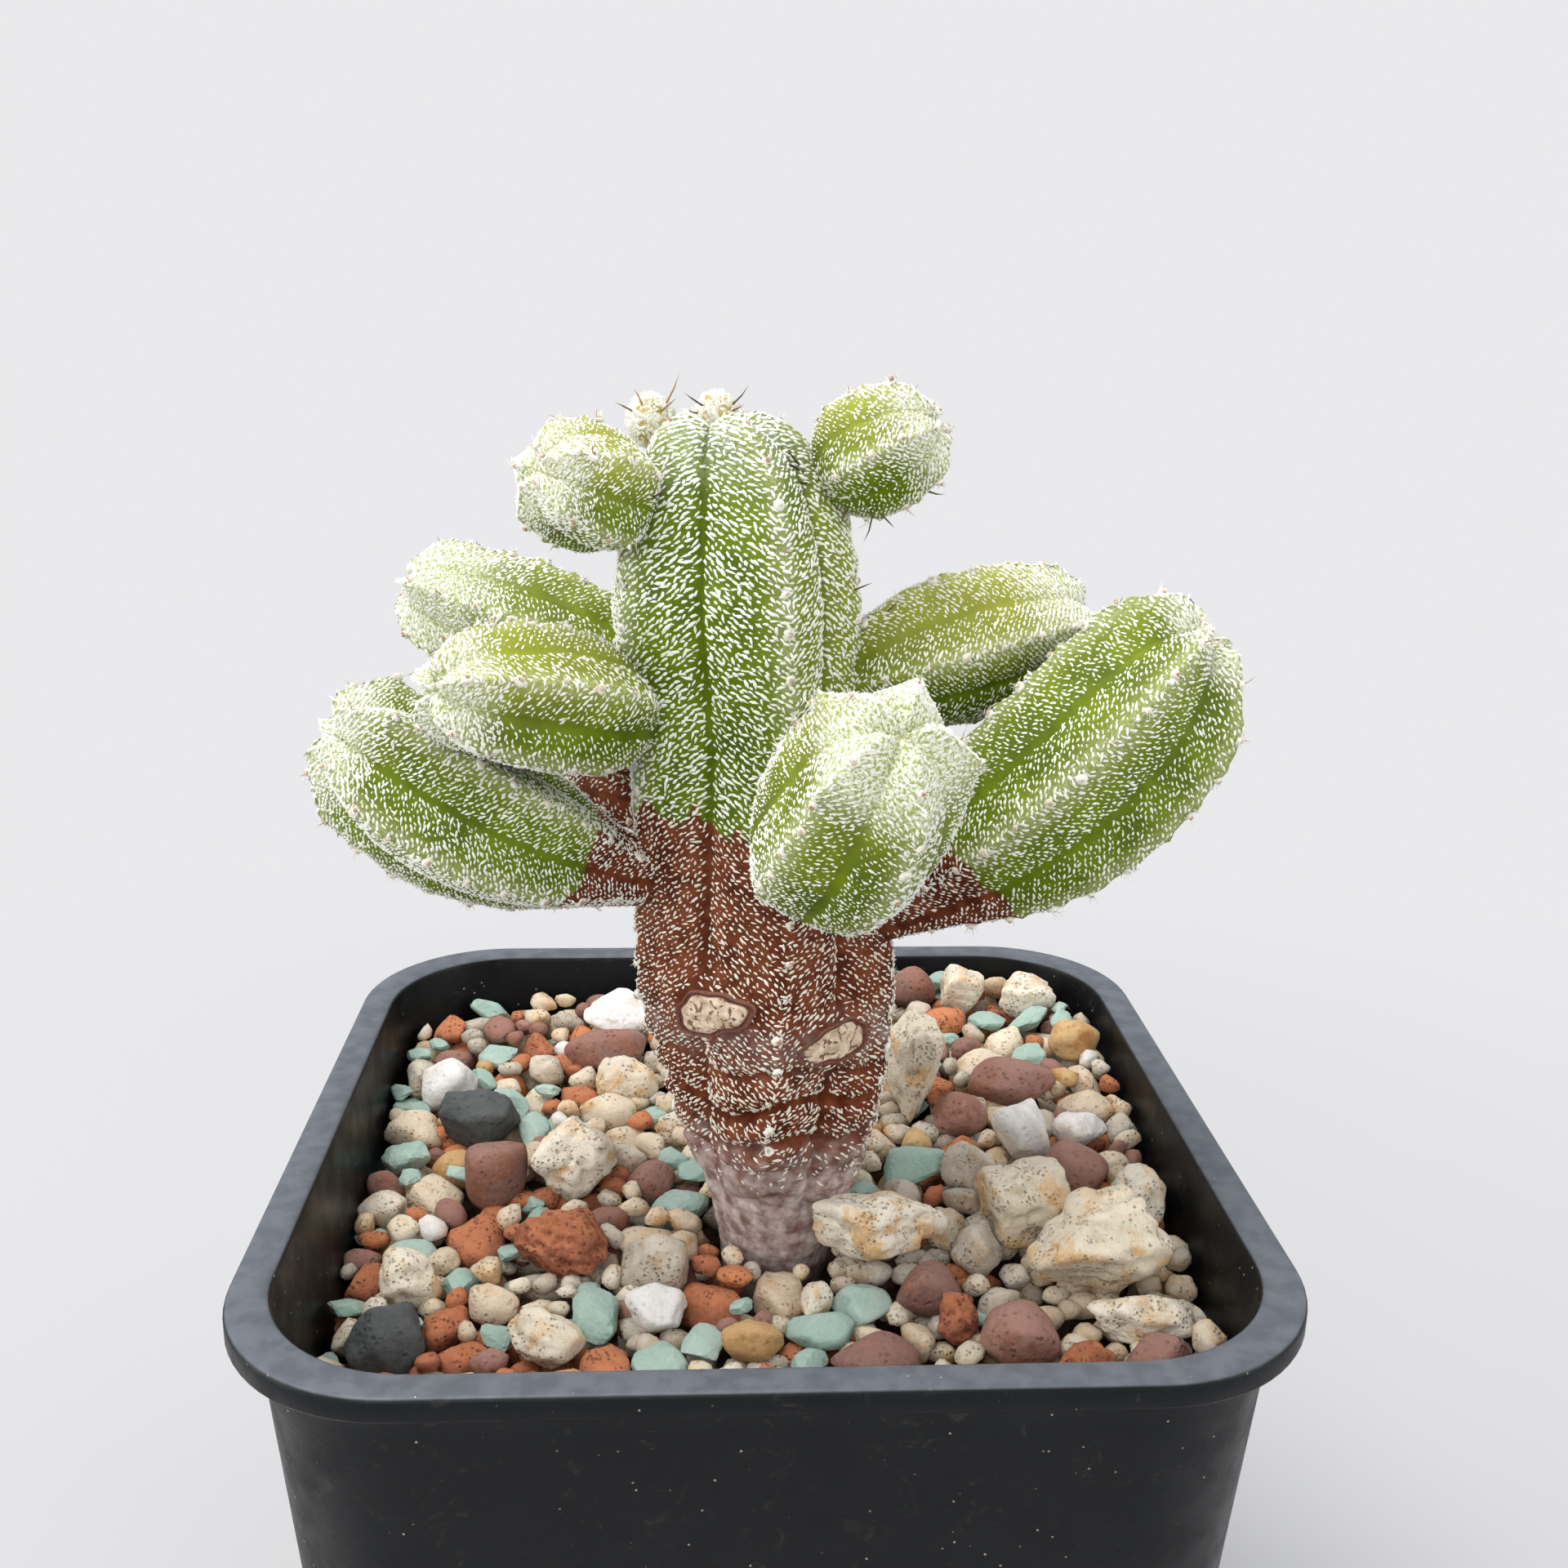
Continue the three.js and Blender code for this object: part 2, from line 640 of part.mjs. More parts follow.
function cobbles(large) {
  const centres = bedGrid();
  const points = [];
  const faces = [];
  const bottom = SOIL_TOP + GAP;
  const add = (x, y, z) => points.push(point(x, y, pressed(x, y, z, large))) - 1;
  const valleys = new Map();
  const reach = GRID_REACH - 1;
  for (let row = -reach; row <= reach; row++) {
    for (let column = -reach; column <= reach; column++) {
      const here = centres.get(`${row} ${column}`);
      const around = neighbours(row, column).map(([r, c]) => ({ key: `${r} ${c}`, ...centres.get(`${r} ${c}`) }));
      const foot = around.map((a, i) => {
        const b = around[(i + 1) % 6];
        const key = [`${row} ${column}`, a.key, b.key].sort().join(" / ");
        if (!valleys.has(key)) {
          const x = (here.x + a.x + b.x) / 3;
          const y = (here.y + a.y + b.y) / 3;
          valleys.set(key, add(x, y, gravelTop(x, y) - VALLEY));
        }
        return valleys.get(key);
      });
      const rim = foot.map((v) => {
        const x = here.x + CAP_SHARE * (points[v].x - here.x);
        const y = here.y + CAP_SHARE * (points[v].y - here.y);
        return add(x, y, gravelTop(x, y) - CAP_EDGE + here.rise);
      });
      const crown = add(here.x, here.y, gravelTop(here.x, here.y) - CAP_MIDDLE + here.rise);
      for (let i = 0; i < 6; i++) {
        const j = (i + 1) % 6;
        faces.push(crown, rim[i], rim[j]);
        faces.push(rim[i], foot[i], foot[j]);
        faces.push(rim[i], foot[j], rim[j]);
      }
    }
  }
  closeBelow(points, faces, bottom);
  const geometry = new THREE.BufferGeometry().setFromPoints(points);
  geometry.setIndex(faces);
  return solid(geometry);
}

// Walls and a floor under an open sheet of faces, from its free edges down to a level.
function closeBelow(points, faces, level) {
  const edges = new Set();
  for (let i = 0; i < faces.length; i += 3) {
    for (const [a, b] of [[0, 1], [1, 2], [2, 0]]) edges.add(`${faces[i + a]} ${faces[i + b]}`);
  }
  const centre = points.push(point(0, 0, level)) - 1;
  const below = new Map();
  const under = (v) => {
    if (!below.has(v)) below.set(v, points.push(point(points[v].x, points[v].y, level)) - 1);
    return below.get(v);
  };
  for (const edge of edges) {
    const [a, b] = edge.split(" ").map(Number);
    if (edges.has(`${b} ${a}`)) continue;
    faces.push(b, a, under(a), b, under(a), under(b), under(b), under(a), centre);
  }
}

function gravelBed(large) {
  const half = (z) => insideHalf(z) - FILL_GAP;
  const low = SOIL_TOP + GAP;
  const high = POT_HEIGHT - BASE_EDGE;
  const rings = [
    roundedSquare(half(low), insideCorner(low), low),
    roundedSquare(half(high), insideCorner(high), high),
  ];
  const inside = solid(skin(rings, point(0, 0, low), point(0, 0, high)));
  let body = cobbles(large).intersect(inside).subtract(stem(GAP));
  for (const { shape } of large) {
    const roomy = stone({ ...shape, size: shape.size.map((side) => side + 2 * GAP) });
    if (body.intersect(roomy).volume() > 0) body = body.subtract(roomy);
  }
  return largest(body);
}

function soil() {
  const low = FLOOR + GAP;
  const half = (z) => insideHalf(z) - FILL_GAP;
  const cut = BASE_EDGE + GAP;
  const rings = [
    roundedSquare(half(low) - cut, insideCorner(low) - cut, low),
    roundedSquare(half(low + cut), insideCorner(low + cut), low + cut),
    roundedSquare(half(SOIL_TOP), insideCorner(SOIL_TOP), SOIL_TOP),
  ];
  return solid(skin(rings, point(0, 0, low), point(0, 0, SOIL_TOP))).subtract(stem(GAP));
}

// The assembly.
const potted_cactus = new THREE.Group();

function show(name, body, material) {
  const mesh = new THREE.Mesh(geometryOf(body), material);
  mesh.name = name;
  potted_cactus.add(mesh);
}

const large = largeStones();
const stemClearance = stem(GAP);
show("pot", pot(), blackPlastic());
show("soil", soil(), pottingMix());
show("gravel_bed", gravelBed(large), stoneFinishes.gravel());
for (const { name, kind, shape } of large) show(name, stone(shape), stoneFinishes[kind]());
show("main_stem", mainStem(), greenSkin());
for (const form of OFFSETS) show(form.name, largest(offset(form).subtract(stemClearance)), greenSkin());

export default potted_cactus;
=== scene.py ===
# %% [markdown]
# # A potted monstrose bishop's cap cactus
#
# The real object is a small five-ribbed cactus in a square black nursery pot, dressed with mixed grit.
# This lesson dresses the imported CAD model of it. The CAD parts give every place and size, and each step
# below swaps a plain solid for a piece with the surface that the real one shows: woolly flecks, corky
# bark, pumice, dust.

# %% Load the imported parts
import json
import math

import bmesh
import bpy
import numpy as np
from mathutils import Matrix, Vector

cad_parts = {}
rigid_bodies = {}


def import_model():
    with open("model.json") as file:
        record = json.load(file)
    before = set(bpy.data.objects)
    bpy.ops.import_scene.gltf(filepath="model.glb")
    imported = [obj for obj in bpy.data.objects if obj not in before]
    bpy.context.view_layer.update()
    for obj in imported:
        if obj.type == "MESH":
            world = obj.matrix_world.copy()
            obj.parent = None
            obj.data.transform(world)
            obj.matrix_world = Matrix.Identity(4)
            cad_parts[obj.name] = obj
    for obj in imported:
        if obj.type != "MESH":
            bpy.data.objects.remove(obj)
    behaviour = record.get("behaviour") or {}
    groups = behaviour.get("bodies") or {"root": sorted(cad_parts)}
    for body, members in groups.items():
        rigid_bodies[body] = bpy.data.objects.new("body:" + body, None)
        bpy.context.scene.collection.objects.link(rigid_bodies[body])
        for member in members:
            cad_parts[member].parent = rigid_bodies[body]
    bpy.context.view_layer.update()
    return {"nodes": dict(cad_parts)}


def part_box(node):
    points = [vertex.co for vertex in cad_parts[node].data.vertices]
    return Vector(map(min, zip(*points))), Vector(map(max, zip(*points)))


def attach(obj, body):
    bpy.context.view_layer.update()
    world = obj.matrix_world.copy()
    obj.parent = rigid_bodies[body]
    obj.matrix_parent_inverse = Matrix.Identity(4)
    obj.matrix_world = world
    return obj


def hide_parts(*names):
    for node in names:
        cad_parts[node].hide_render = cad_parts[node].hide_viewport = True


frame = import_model()
MM = 0.001

# %% [markdown]
# ## The camera
#
# A camera is matched to a photograph by its place, its aim, a small roll and the length of its lens.
# These come from a fit to the pot's rim, whose size is known. Close phone pictures have a wide view, so
# the near rim looks much wider than the far one, and only the right distance gives that.

# %% Camera at the photograph's viewing angle
CAMERA_PLACE = Vector((-6.39, -149.86, 161.69)) * MM
CAMERA_AIM = Vector((1.945, 0.0, 118.165)) * MM
CAMERA_ROLL = math.radians(0.92)
LENS = 38.03
SENSOR = 36.0

camera_data = bpy.data.cameras.new("camera")
camera_data.lens = LENS
camera_data.sensor_width = SENSOR
camera_data.clip_start = 0.005
camera_data.clip_end = 20.0
camera = bpy.data.objects.new("camera", camera_data)
bpy.context.scene.collection.objects.link(camera)
aim = (CAMERA_AIM - CAMERA_PLACE).to_track_quat("-Z", "Y").to_matrix().to_4x4()
camera.matrix_world = Matrix.Translation(CAMERA_PLACE) @ aim @ Matrix.Rotation(CAMERA_ROLL, 4, "Z")
bpy.context.scene.camera = camera
print("camera distance:", round((CAMERA_AIM - CAMERA_PLACE).length, 3), "m")

# %% [markdown]
# ## Light, floor and tones
#
# The picture was taken in soft, bright daylight before a pale wall. A wide lamp overhead, two at the
# sides and a weak one in front give that, and an even sky fills the shadows. The front gets less light,
# because the black wall of the pot shows almost nothing there while its two corners shine grey. The
# floor is pale near the pot, where it takes the pot's shadow, and fades into the tone of the room, so no
# horizon cuts the picture.

# %% Floor, lamps and sky
FLOOR_REACH = 3.0
FLOOR_GREY = (0.47, 0.47, 0.475)
# Between these distances from the pot's middle, in metres, the floor fades into the room.
FADE = (0.06, 0.35)
PALE = (0.82, 0.82, 0.835)
SKY_TINT = (0.93, 0.95, 1.0)
SKY_STRENGTH = 0.76
LAMP_SIZE = 0.6
WHITE = (1.0, 1.0, 1.0)
WARM = (1.0, 0.985, 0.955)
# Place, the height over the floor that it shines at, power and colour.
LAMPS = {
    "lamp_over": ((-0.3, -0.05, 1.0), 0.1, 8.2, WARM),
    "lamp_left": ((-0.9, -0.2, 0.28), 0.11, 4.4, WHITE),
    "lamp_right": ((0.8, -0.35, 0.4), 0.1, 2.8, WHITE),
    "lamp_front": ((-0.25, -0.9, 0.55), 0.11, 3.4, WHITE),
}


def linear(level):
    """One channel read off a picture, 0 to 255, turned to Blender's linear value."""
    share = level / 255
    return ((share + 0.055) / 1.055) ** 2.4 if level > 10 else share / 12.92


def paint(red, green, blue):
    """A colour as read off a picture."""
    return linear(red), linear(green), linear(blue)


for name, (place, aim_height, power, tint) in LAMPS.items():
    lamp_data = bpy.data.lights.new(name, "AREA")
    lamp_data.size = LAMP_SIZE
    lamp_data.energy = power
    lamp_data.color = tint
    lamp = bpy.data.objects.new(name, lamp_data)
    lamp.location = place
    lamp.rotation_euler = (Vector((0, 0, aim_height)) - Vector(place)).to_track_quat("-Z", "Y").to_euler()
    bpy.context.scene.collection.objects.link(lamp)

world = bpy.data.worlds.new("pale_room")
bpy.context.scene.world = world
world.use_nodes = True
sky = world.node_tree.nodes["Background"]
sky.inputs["Color"].default_value = (*SKY_TINT, 1.0)
sky.inputs["Strength"].default_value = SKY_STRENGTH
seen = world.node_tree.nodes.new("ShaderNodeBackground")
seen.inputs["Color"].default_value = (*PALE, 1.0)
seen.inputs["Strength"].default_value = 1.0
ray = world.node_tree.nodes.new("ShaderNodeLightPath")
either = world.node_tree.nodes.new("ShaderNodeMixShader")
world.node_tree.links.new(ray.outputs["Is Camera Ray"], either.inputs[0])
world.node_tree.links.new(sky.outputs[0], either.inputs[1])
world.node_tree.links.new(seen.outputs[0], either.inputs[2])
world.node_tree.links.new(either.outputs[0], world.node_tree.nodes["World Output"].inputs["Surface"])

bpy.context.scene.view_settings.view_transform = "Standard"
bpy.context.scene.view_settings.look = "None"

floor_mesh = bpy.data.meshes.new("floor")
floor_corners = [(FLOOR_REACH * x, FLOOR_REACH * y, 0) for x, y in ((-1, -1), (1, -1), (1, 1), (-1, 1))]
floor_mesh.from_pydata(floor_corners, [], [(0, 1, 2, 3)])
floor = bpy.data.objects.new("floor", floor_mesh)
bpy.context.scene.collection.objects.link(floor)
floor_paint = bpy.data.materials.new("pale_floor")
floor_paint.use_nodes = True
tree = floor_paint.node_tree
tree.nodes["Principled BSDF"].inputs["Base Color"].default_value = (*FLOOR_GREY, 1)
tree.nodes["Principled BSDF"].inputs["Roughness"].default_value = 0.9
glow = tree.nodes.new("ShaderNodeEmission")
glow.inputs["Color"].default_value = (*PALE, 1)
away = tree.nodes.new("ShaderNodeVectorMath")
away.operation = "LENGTH"
fade = tree.nodes.new("ShaderNodeMapRange")
fade.interpolation_type = "SMOOTHSTEP"
fade.inputs["From Min"].default_value, fade.inputs["From Max"].default_value = FADE
blend = tree.nodes.new("ShaderNodeMixShader")
tree.links.new(tree.nodes.new("ShaderNodeTexCoord").outputs["Object"], away.inputs[0])
tree.links.new(away.outputs["Value"], fade.inputs["Value"])
tree.links.new(fade.outputs["Result"], blend.inputs[0])
tree.links.new(tree.nodes["Principled BSDF"].outputs[0], blend.inputs[1])
tree.links.new(glow.outputs[0], blend.inputs[2])
tree.links.new(blend.outputs[0], tree.nodes["Material Output"].inputs["Surface"])
floor_mesh.materials.append(floor_paint)

# %% [markdown]
# ## Tools for finishes
#
# Every finish here is a small tree of shader nodes. The colour comes from noise at two or three sizes,
# as on real surfaces, and from values stored on the mesh, such as how far a point is from a rib's crest.
# A few short helpers keep each finish readable.


# %% Helpers that build finishes
class Finish:
    """A material whose nodes are added and joined in one line each."""

    def __init__(self, name, roughness=0.8):
        self.material = bpy.data.materials.new(name)
        self.material.use_nodes = True
        self.nodes = self.material.node_tree.nodes
        self.links = self.material.node_tree.links
        self.shader = self.nodes["Principled BSDF"]
        self.shader.inputs["Roughness"].default_value = roughness
        self.place = self.nodes.new("ShaderNodeTexCoord").outputs["Object"]

    def feed(self, value, socket):
        """Puts a number, a colour or another node's result into a socket."""
        if isinstance(value, bpy.types.NodeSocket):
            self.links.new(value, socket)
        elif isinstance(value, tuple) and len(value) == 3:
            socket.default_value = (*value, 1.0)
        else:
            socket.default_value = value

    def noise(self, size_mm, detail=4.0, rough=0.55, distortion=0.0):
        node = self.nodes.new("ShaderNodeTexNoise")
        self.links.new(self.place, node.inputs["Vector"])
        node.inputs["Scale"].default_value = 1 / (size_mm * MM)
        node.inputs["Detail"].default_value = detail
        node.inputs["Roughness"].default_value = rough
        node.inputs["Distortion"].default_value = distortion
        return node.outputs["Fac"]

    def cells(self, size_mm, feature="F1"):
        node = self.nodes.new("ShaderNodeTexVoronoi")
        node.feature = feature
        self.links.new(self.place, node.inputs["Vector"])
        node.inputs["Scale"].default_value = 1 / (size_mm * MM)
        return node.outputs["Distance"]

    def trait(self, name):
        """A value stored on the mesh."""
        node = self.nodes.new("ShaderNodeAttribute")
        node.attribute_name = name
        return node.outputs["Fac"]

    def step(self, value, low, high, to_low=0.0, to_high=1.0):
        """Turns the stretch from low to high into 0 to 1, smoothly and clamped."""
        node = self.nodes.new("ShaderNodeMapRange")
        node.interpolation_type = "SMOOTHSTEP"
        for socket, number in zip(node.inputs[1:5], (low, high, to_low, to_high)):
            socket.default_value = number
        self.feed(value, node.inputs["Value"])
        return node.outputs["Result"]

    def math(self, how, a, b):
        node = self.nodes.new("ShaderNodeMath")
        node.operation = how
        self.feed(a, node.inputs[0])
        self.feed(b, node.inputs[1])
        return node.outputs[0]

    def mix(self, share, a, b):
        node = self.nodes.new("ShaderNodeMix")
        node.data_type = "RGBA"
        self.feed(share, node.inputs["Factor"])
        self.feed(a, node.inputs[6])
        self.feed(b, node.inputs[7])
        return node.outputs[2]

    def upward(self):
        """How far a face looks up, from -1 to 1."""
        geometry = self.nodes.new("ShaderNodeNewGeometry")
        parts = self.nodes.new("ShaderNodeSeparateXYZ")
        self.links.new(geometry.outputs["Normal"], parts.inputs[0])
        return parts.outputs["Z"]

    def bump(self, height, depth_mm, strength=1.0):
        node = self.nodes.new("ShaderNodeBump")
        node.inputs["Distance"].default_value = depth_mm * MM
        node.inputs["Strength"].default_value = strength
        self.feed(height, node.inputs["Height"])
        return node.outputs["Normal"]

    def wear(self, colour, roughness=None, normal=None):
        """Joins the results to the shader and hands back the material."""
        self.feed(colour, self.shader.inputs["Base Color"])
        if roughness is not None:
            self.feed(roughness, self.shader.inputs["Roughness"])
        if normal is not None:
            self.links.new(normal, self.shader.inputs["Normal"])
        return self.material


print("finish helpers ready")

# %% [markdown]
# ## Tools for shapes
#
# The plant's bodies are skins over stacks of rings, as in the CAD model, only finer. Keeping the rings
# as one array of points makes it easy to find any place on the skin later, where a fleck, a spine or a
# tuft will stand.


# %% Helpers that build shapes
def build_piece(name, points, faces, material, smooth=True, traits=None):
    """A piece from points in millimetres and groups of faces with equal numbers of corners."""
    mesh = bpy.data.meshes.new(name)
    groups = [np.asarray(group, np.int32) for group in faces if len(group)]
    corners = np.concatenate([group.ravel() for group in groups])
    sizes = np.concatenate([np.full(len(group), group.shape[1]) for group in groups])
    mesh.vertices.add(len(points))
    mesh.vertices.foreach_set("co", (np.asarray(points, np.float64) * MM).astype(np.float32).ravel())
    mesh.loops.add(len(corners))
    mesh.loops.foreach_set("vertex_index", corners)
    mesh.polygons.add(len(sizes))
    mesh.polygons.foreach_set("loop_start", (np.cumsum(sizes) - sizes).astype(np.int32))
    mesh.update(calc_edges=True)
    mesh.polygons.foreach_set("use_smooth", np.full(len(sizes), smooth))
    for trait, values in (traits or {}).items():
        layer = mesh.attributes.new(trait, "FLOAT", "POINT")
        layer.data.foreach_set("value", np.asarray(values, np.float32))
    mesh.materials.append(material)
    piece = bpy.data.objects.new(name, mesh)
    bpy.context.scene.collection.objects.link(piece)
    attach(piece, "root")
    return piece


def unit(vectors):
    return vectors / np.maximum(np.linalg.norm(vectors, axis=-1, keepdims=True), 1e-9)


def smooth_step(value, low, high):
    share = np.clip((value - low) / (high - low), 0, 1)
    return share * share * (3 - 2 * share)


def through_rows(rows, places):
    """Smooth values through evenly spaced rows of numbers, at places from 0 to 1."""
    rows = np.array(rows, float)
    reach = np.clip(places, 0, 1) * (len(rows) - 1)
    i = np.minimum(reach.astype(int), len(rows) - 2)
    u = (reach - i)[:, None]
    a, b, c, d = (rows[np.clip(i + k, 0, len(rows) - 1)] for k in (-1, 0, 1, 2))
    return b + 0.5 * u * (c - a + u * (2 * a - 5 * b + 4 * c - d + u * (3 * (b - c) + d - a)))


def ripple(points, size, rng, waves=9):
    """Gentle random relief from -1 to 1: a sum of waves that run in random directions."""
    total = np.zeros(len(points))
    for _ in range(waves):
        direction = unit(rng.normal(size=3)) * rng.uniform(0.6, 1.4) * 2 * math.pi / size
        total += np.sin(points @ direction + rng.uniform(0, 2 * math.pi))
    return total / math.sqrt(waves) / 1.5


def skin_faces(rings, columns):
    """Faces of a skin over rings of points, closed by a fan at each end. The end points come last."""
    i, j = np.meshgrid(np.arange(rings - 1), np.arange(columns), indexing="ij")
    k = (j + 1) % columns
    quads = np.stack([i * columns + j, i * columns + k, (i + 1) * columns + k, (i + 1) * columns + j], -1)
    j = np.arange(columns)
    k = (j + 1) % columns
    start, end = rings * columns, rings * columns + 1
    foot = np.stack([np.full(columns, start), k, j], -1)
    top = (rings - 1) * columns
    head = np.stack([np.full(columns, end), top + j, top + k], -1)
    return [quads.reshape(-1, 4), np.concatenate([foot, head])]


print("shape helpers ready")

# %% [markdown]
# ## The pot
#
# A nursery pot is one thin moulding: tapered walls, round corners, and a flat rim with a small lip. It
# is lofted from rounded squares, with many more steps round each corner than the CAD solid has, so that
# the lip's edge catches a clean line of light. The drain holes are cut through the floor with a boolean.

# %% Pot shape
_, pot_high = (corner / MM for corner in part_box("pot"))
POT_HEIGHT = pot_high.z
RIM_HALF = pot_high.x
RIM_CORNER = 15.5
RIM_FLAT = 3.4
LIP_HEIGHT = 2.2
WALL = 1.5
FLOOR = 2.0
TAPER = 0.084
INSIDE_CORNER = 13.3
CORNER_TAPER = 0.06
DRAIN_RADIUS = 4.0
DRAIN_AT = 19.0
DRILL_LENGTH = 6.0
SHARP_EDGE = math.radians(50)
CORNER_STEPS = 18


def inside_half(z):
    return RIM_HALF - RIM_FLAT - TAPER * (POT_HEIGHT - z)


def inside_corner(z):
    return INSIDE_CORNER - CORNER_TAPER * (POT_HEIGHT - z)


def rounded_square(half, corner, z):
    """Points round a square with round corners."""
    turn = np.radians(np.concatenate([np.linspace(90 * q, 90 * q + 90, CORNER_STEPS) for q in range(4)]))
    middle = np.radians(np.repeat([45, 135, 225, 315], CORNER_STEPS))
    reach = (half - corner) * math.sqrt(2)
    x = reach * np.cos(middle) + corner * np.cos(turn)
    y = reach * np.sin(middle) + corner * np.sin(turn)
    return np.stack([x, y, np.full(len(x), z)], 1)


def pot_profile():
    """Rows of half width, corner radius and height: up the outside, over the rim and down the inside."""
    lip = POT_HEIGHT - LIP_HEIGHT
    rows = [(inside_half(0) + WALL - 1, inside_corner(0) + WALL - 1, 0.0)]
    for z in (0.3, 1.0, 3.0, 20.0, 40.0, 60.0, lip - 3, lip - 0.5):
        shrink = 0.35 if z < 0.5 else 0
        rows.append((inside_half(z) + WALL - shrink, inside_corner(z) + WALL - shrink, z))
    under = inside_half(lip) + WALL
    rows.append((under + 0.15, inside_corner(lip) + WALL, lip - 0.1))
    rows.append((under + 0.5, inside_corner(lip) + WALL + 0.4, lip))
    for out, rise in ((0.3, 0.0), (0.1, 0.08), (0.0, 0.3)):
        rows.append((RIM_HALF - out, RIM_CORNER - out, lip + rise))
    for out, drop in ((0.0, 0.45), (0.06, 0.22), (0.2, 0.07), (0.45, 0.0)):
        rows.append((RIM_HALF - out, RIM_CORNER - out, POT_HEIGHT - drop))
    inner = inside_half(POT_HEIGHT)
    for out, drop in ((0.6, 0.0), (0.25, 0.08), (0.07, 0.25), (0.0, 0.5)):
        rows.append((inner + out, INSIDE_CORNER + out, POT_HEIGHT - drop))
    for z in (POT_HEIGHT - 4, 60.0, 30.0, FLOOR + 1, FLOOR + 0.3):
        shrink = 0.2 if z < FLOOR + 0.5 else 0
        rows.append((inside_half(z) - shrink, inside_corner(z) - shrink, z))
    rows.append((inside_half(FLOOR) - 1, inside_corner(FLOOR) - 1, FLOOR))
    return rows


print("pot:", round(2 * RIM_HALF, 1), "mm wide,", round(POT_HEIGHT, 1), "mm high")


# %% Pot finish: black plastic, dust and a painted sky reflection on the rim, scuffs and pale specks on the walls
def black_plastic():
    f = Finish("black_pot_plastic")
    f.shader.inputs["Specular IOR Level"].default_value = 0.2
    height = f.step(f.noise(2.2), 0.35, 0.65)
    lit = f.step(f.upward(), 0.55, 0.98)
    black = f.mix(f.noise(11.0), paint(4, 6, 8), paint(12, 14, 16))
    scuffs = f.math("MULTIPLY", f.step(f.noise(3.0, 6.0, 0.75, 1.5), 0.56, 0.82), 0.3)
    scuffed = f.mix(scuffs, black, paint(92, 92, 84))
    nicks = f.math("MULTIPLY", f.step(f.cells(1.5), 0.09, 0.03), f.step(f.noise(7.0), 0.42, 0.56))
    specked = f.mix(nicks, scuffed, paint(165, 160, 140))
    # Faces that look up, such as the rim, are mixed to grey: partly dust, partly a painted reflection of the
    # sky.
    dust_and_sky_sheen = f.mix(height, paint(86, 90, 97), paint(100, 104, 111))
    dusty = f.mix(f.math("MULTIPLY", lit, 0.9), specked, dust_and_sky_sheen)
    chips = f.math("MULTIPLY", f.step(f.cells(1.1), 0.07, 0.03), f.step(f.noise(5.0), 0.5, 0.62))
    colour = f.mix(f.math("MULTIPLY", chips, lit), dusty, paint(205, 205, 200))
    roughness = f.step(f.noise(4.0, 6.0), 0.3, 0.7, 0.34, 0.52)
    relief = f.bump(f.noise(0.55, 3.0), 0.05, 0.5)
    return f.wear(colour, roughness, relief)


pot_finish = black_plastic()
print("pot finish ready")


# %% Make the pot
def make_pot():
    rows = pot_profile()
    rings = [rounded_square(*row) for row in rows]
    ends = [[0, 0, rows[0][2]], [0, 0, rows[-1][2]]]
    points = np.concatenate([*rings, ends])
    faces = skin_faces(len(rings), 4 * CORNER_STEPS)
    pot = build_piece("black_pot", points, faces, pot_finish)
    drills = bmesh.new()
    for x in (-DRAIN_AT, DRAIN_AT):
        for y in (-DRAIN_AT, DRAIN_AT):
            place = Matrix.Translation(Vector((x, y, FLOOR / 2)) * MM)
            radius, depth = DRAIN_RADIUS * MM, DRILL_LENGTH * MM
            bmesh.ops.create_cone(
                drills, cap_ends=True, segments=32, radius1=radius, radius2=radius, depth=depth, matrix=place
            )
    drill_mesh = bpy.data.meshes.new("drills")
    drills.to_mesh(drill_mesh)
    drills.free()
    drill = bpy.data.objects.new("drills", drill_mesh)
    bpy.context.scene.collection.objects.link(drill)
    cut = pot.modifiers.new("drain_holes", "BOOLEAN")
    cut.object = drill
    cut.operation = "DIFFERENCE"
    cut.solver = "EXACT"
    bpy.context.view_layer.update()
    holed = bpy.data.meshes.new_from_object(pot.evaluated_get(bpy.context.evaluated_depsgraph_get()))
    pot.modifiers.remove(cut)
    pot.data = holed
    bpy.data.objects.remove(drill)
    holed.polygons.foreach_set("use_smooth", np.full(len(holed.polygons), True))
    holed.set_sharp_from_angle(angle=SHARP_EDGE)
    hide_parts("pot")
    return pot


black_pot = make_pot()
print("pot faces:", len(black_pot.data.polygons))

# %% [markdown]
# ## Potting mix
#
# The mix of bark and peat under the dressing only shows through the drain holes, so its CAD solid stays
# and gets a crumbly brown finish.


# %% Potting mix finish
def potting_mix():
    f = Finish("bark_and_peat", 0.95)
    crumbs = f.mix(f.step(f.noise(2.5), 0.35, 0.65), paint(52, 36, 26), paint(104, 78, 54))
    colour = f.mix(f.step(f.cells(3.5), 0.1, 0.5), paint(40, 28, 20), crumbs)
    return f.wear(colour, None, f.bump(f.noise(1.2, 6.0), 0.6))


def wear_finish(node, material):
    """Puts a finish on a CAD node that stays in view."""
    mesh = frame["nodes"][node].data
    mesh.materials.clear()
    mesh.materials.append(material)


wear_finish("soil", potting_mix())
print("potting mix finished")

# %% [markdown]
# ## The main stem
#
# The old stem is a column of five ribs that leans a little, twists towards its foot and shrinks to a
# corky neck. The same rows of height, axis and radius that shape the CAD solid shape a skin with thirty
# times the faces. The extra faces go into the sharp crease of each groove, the swellings along the
# crests and the bark's folds.

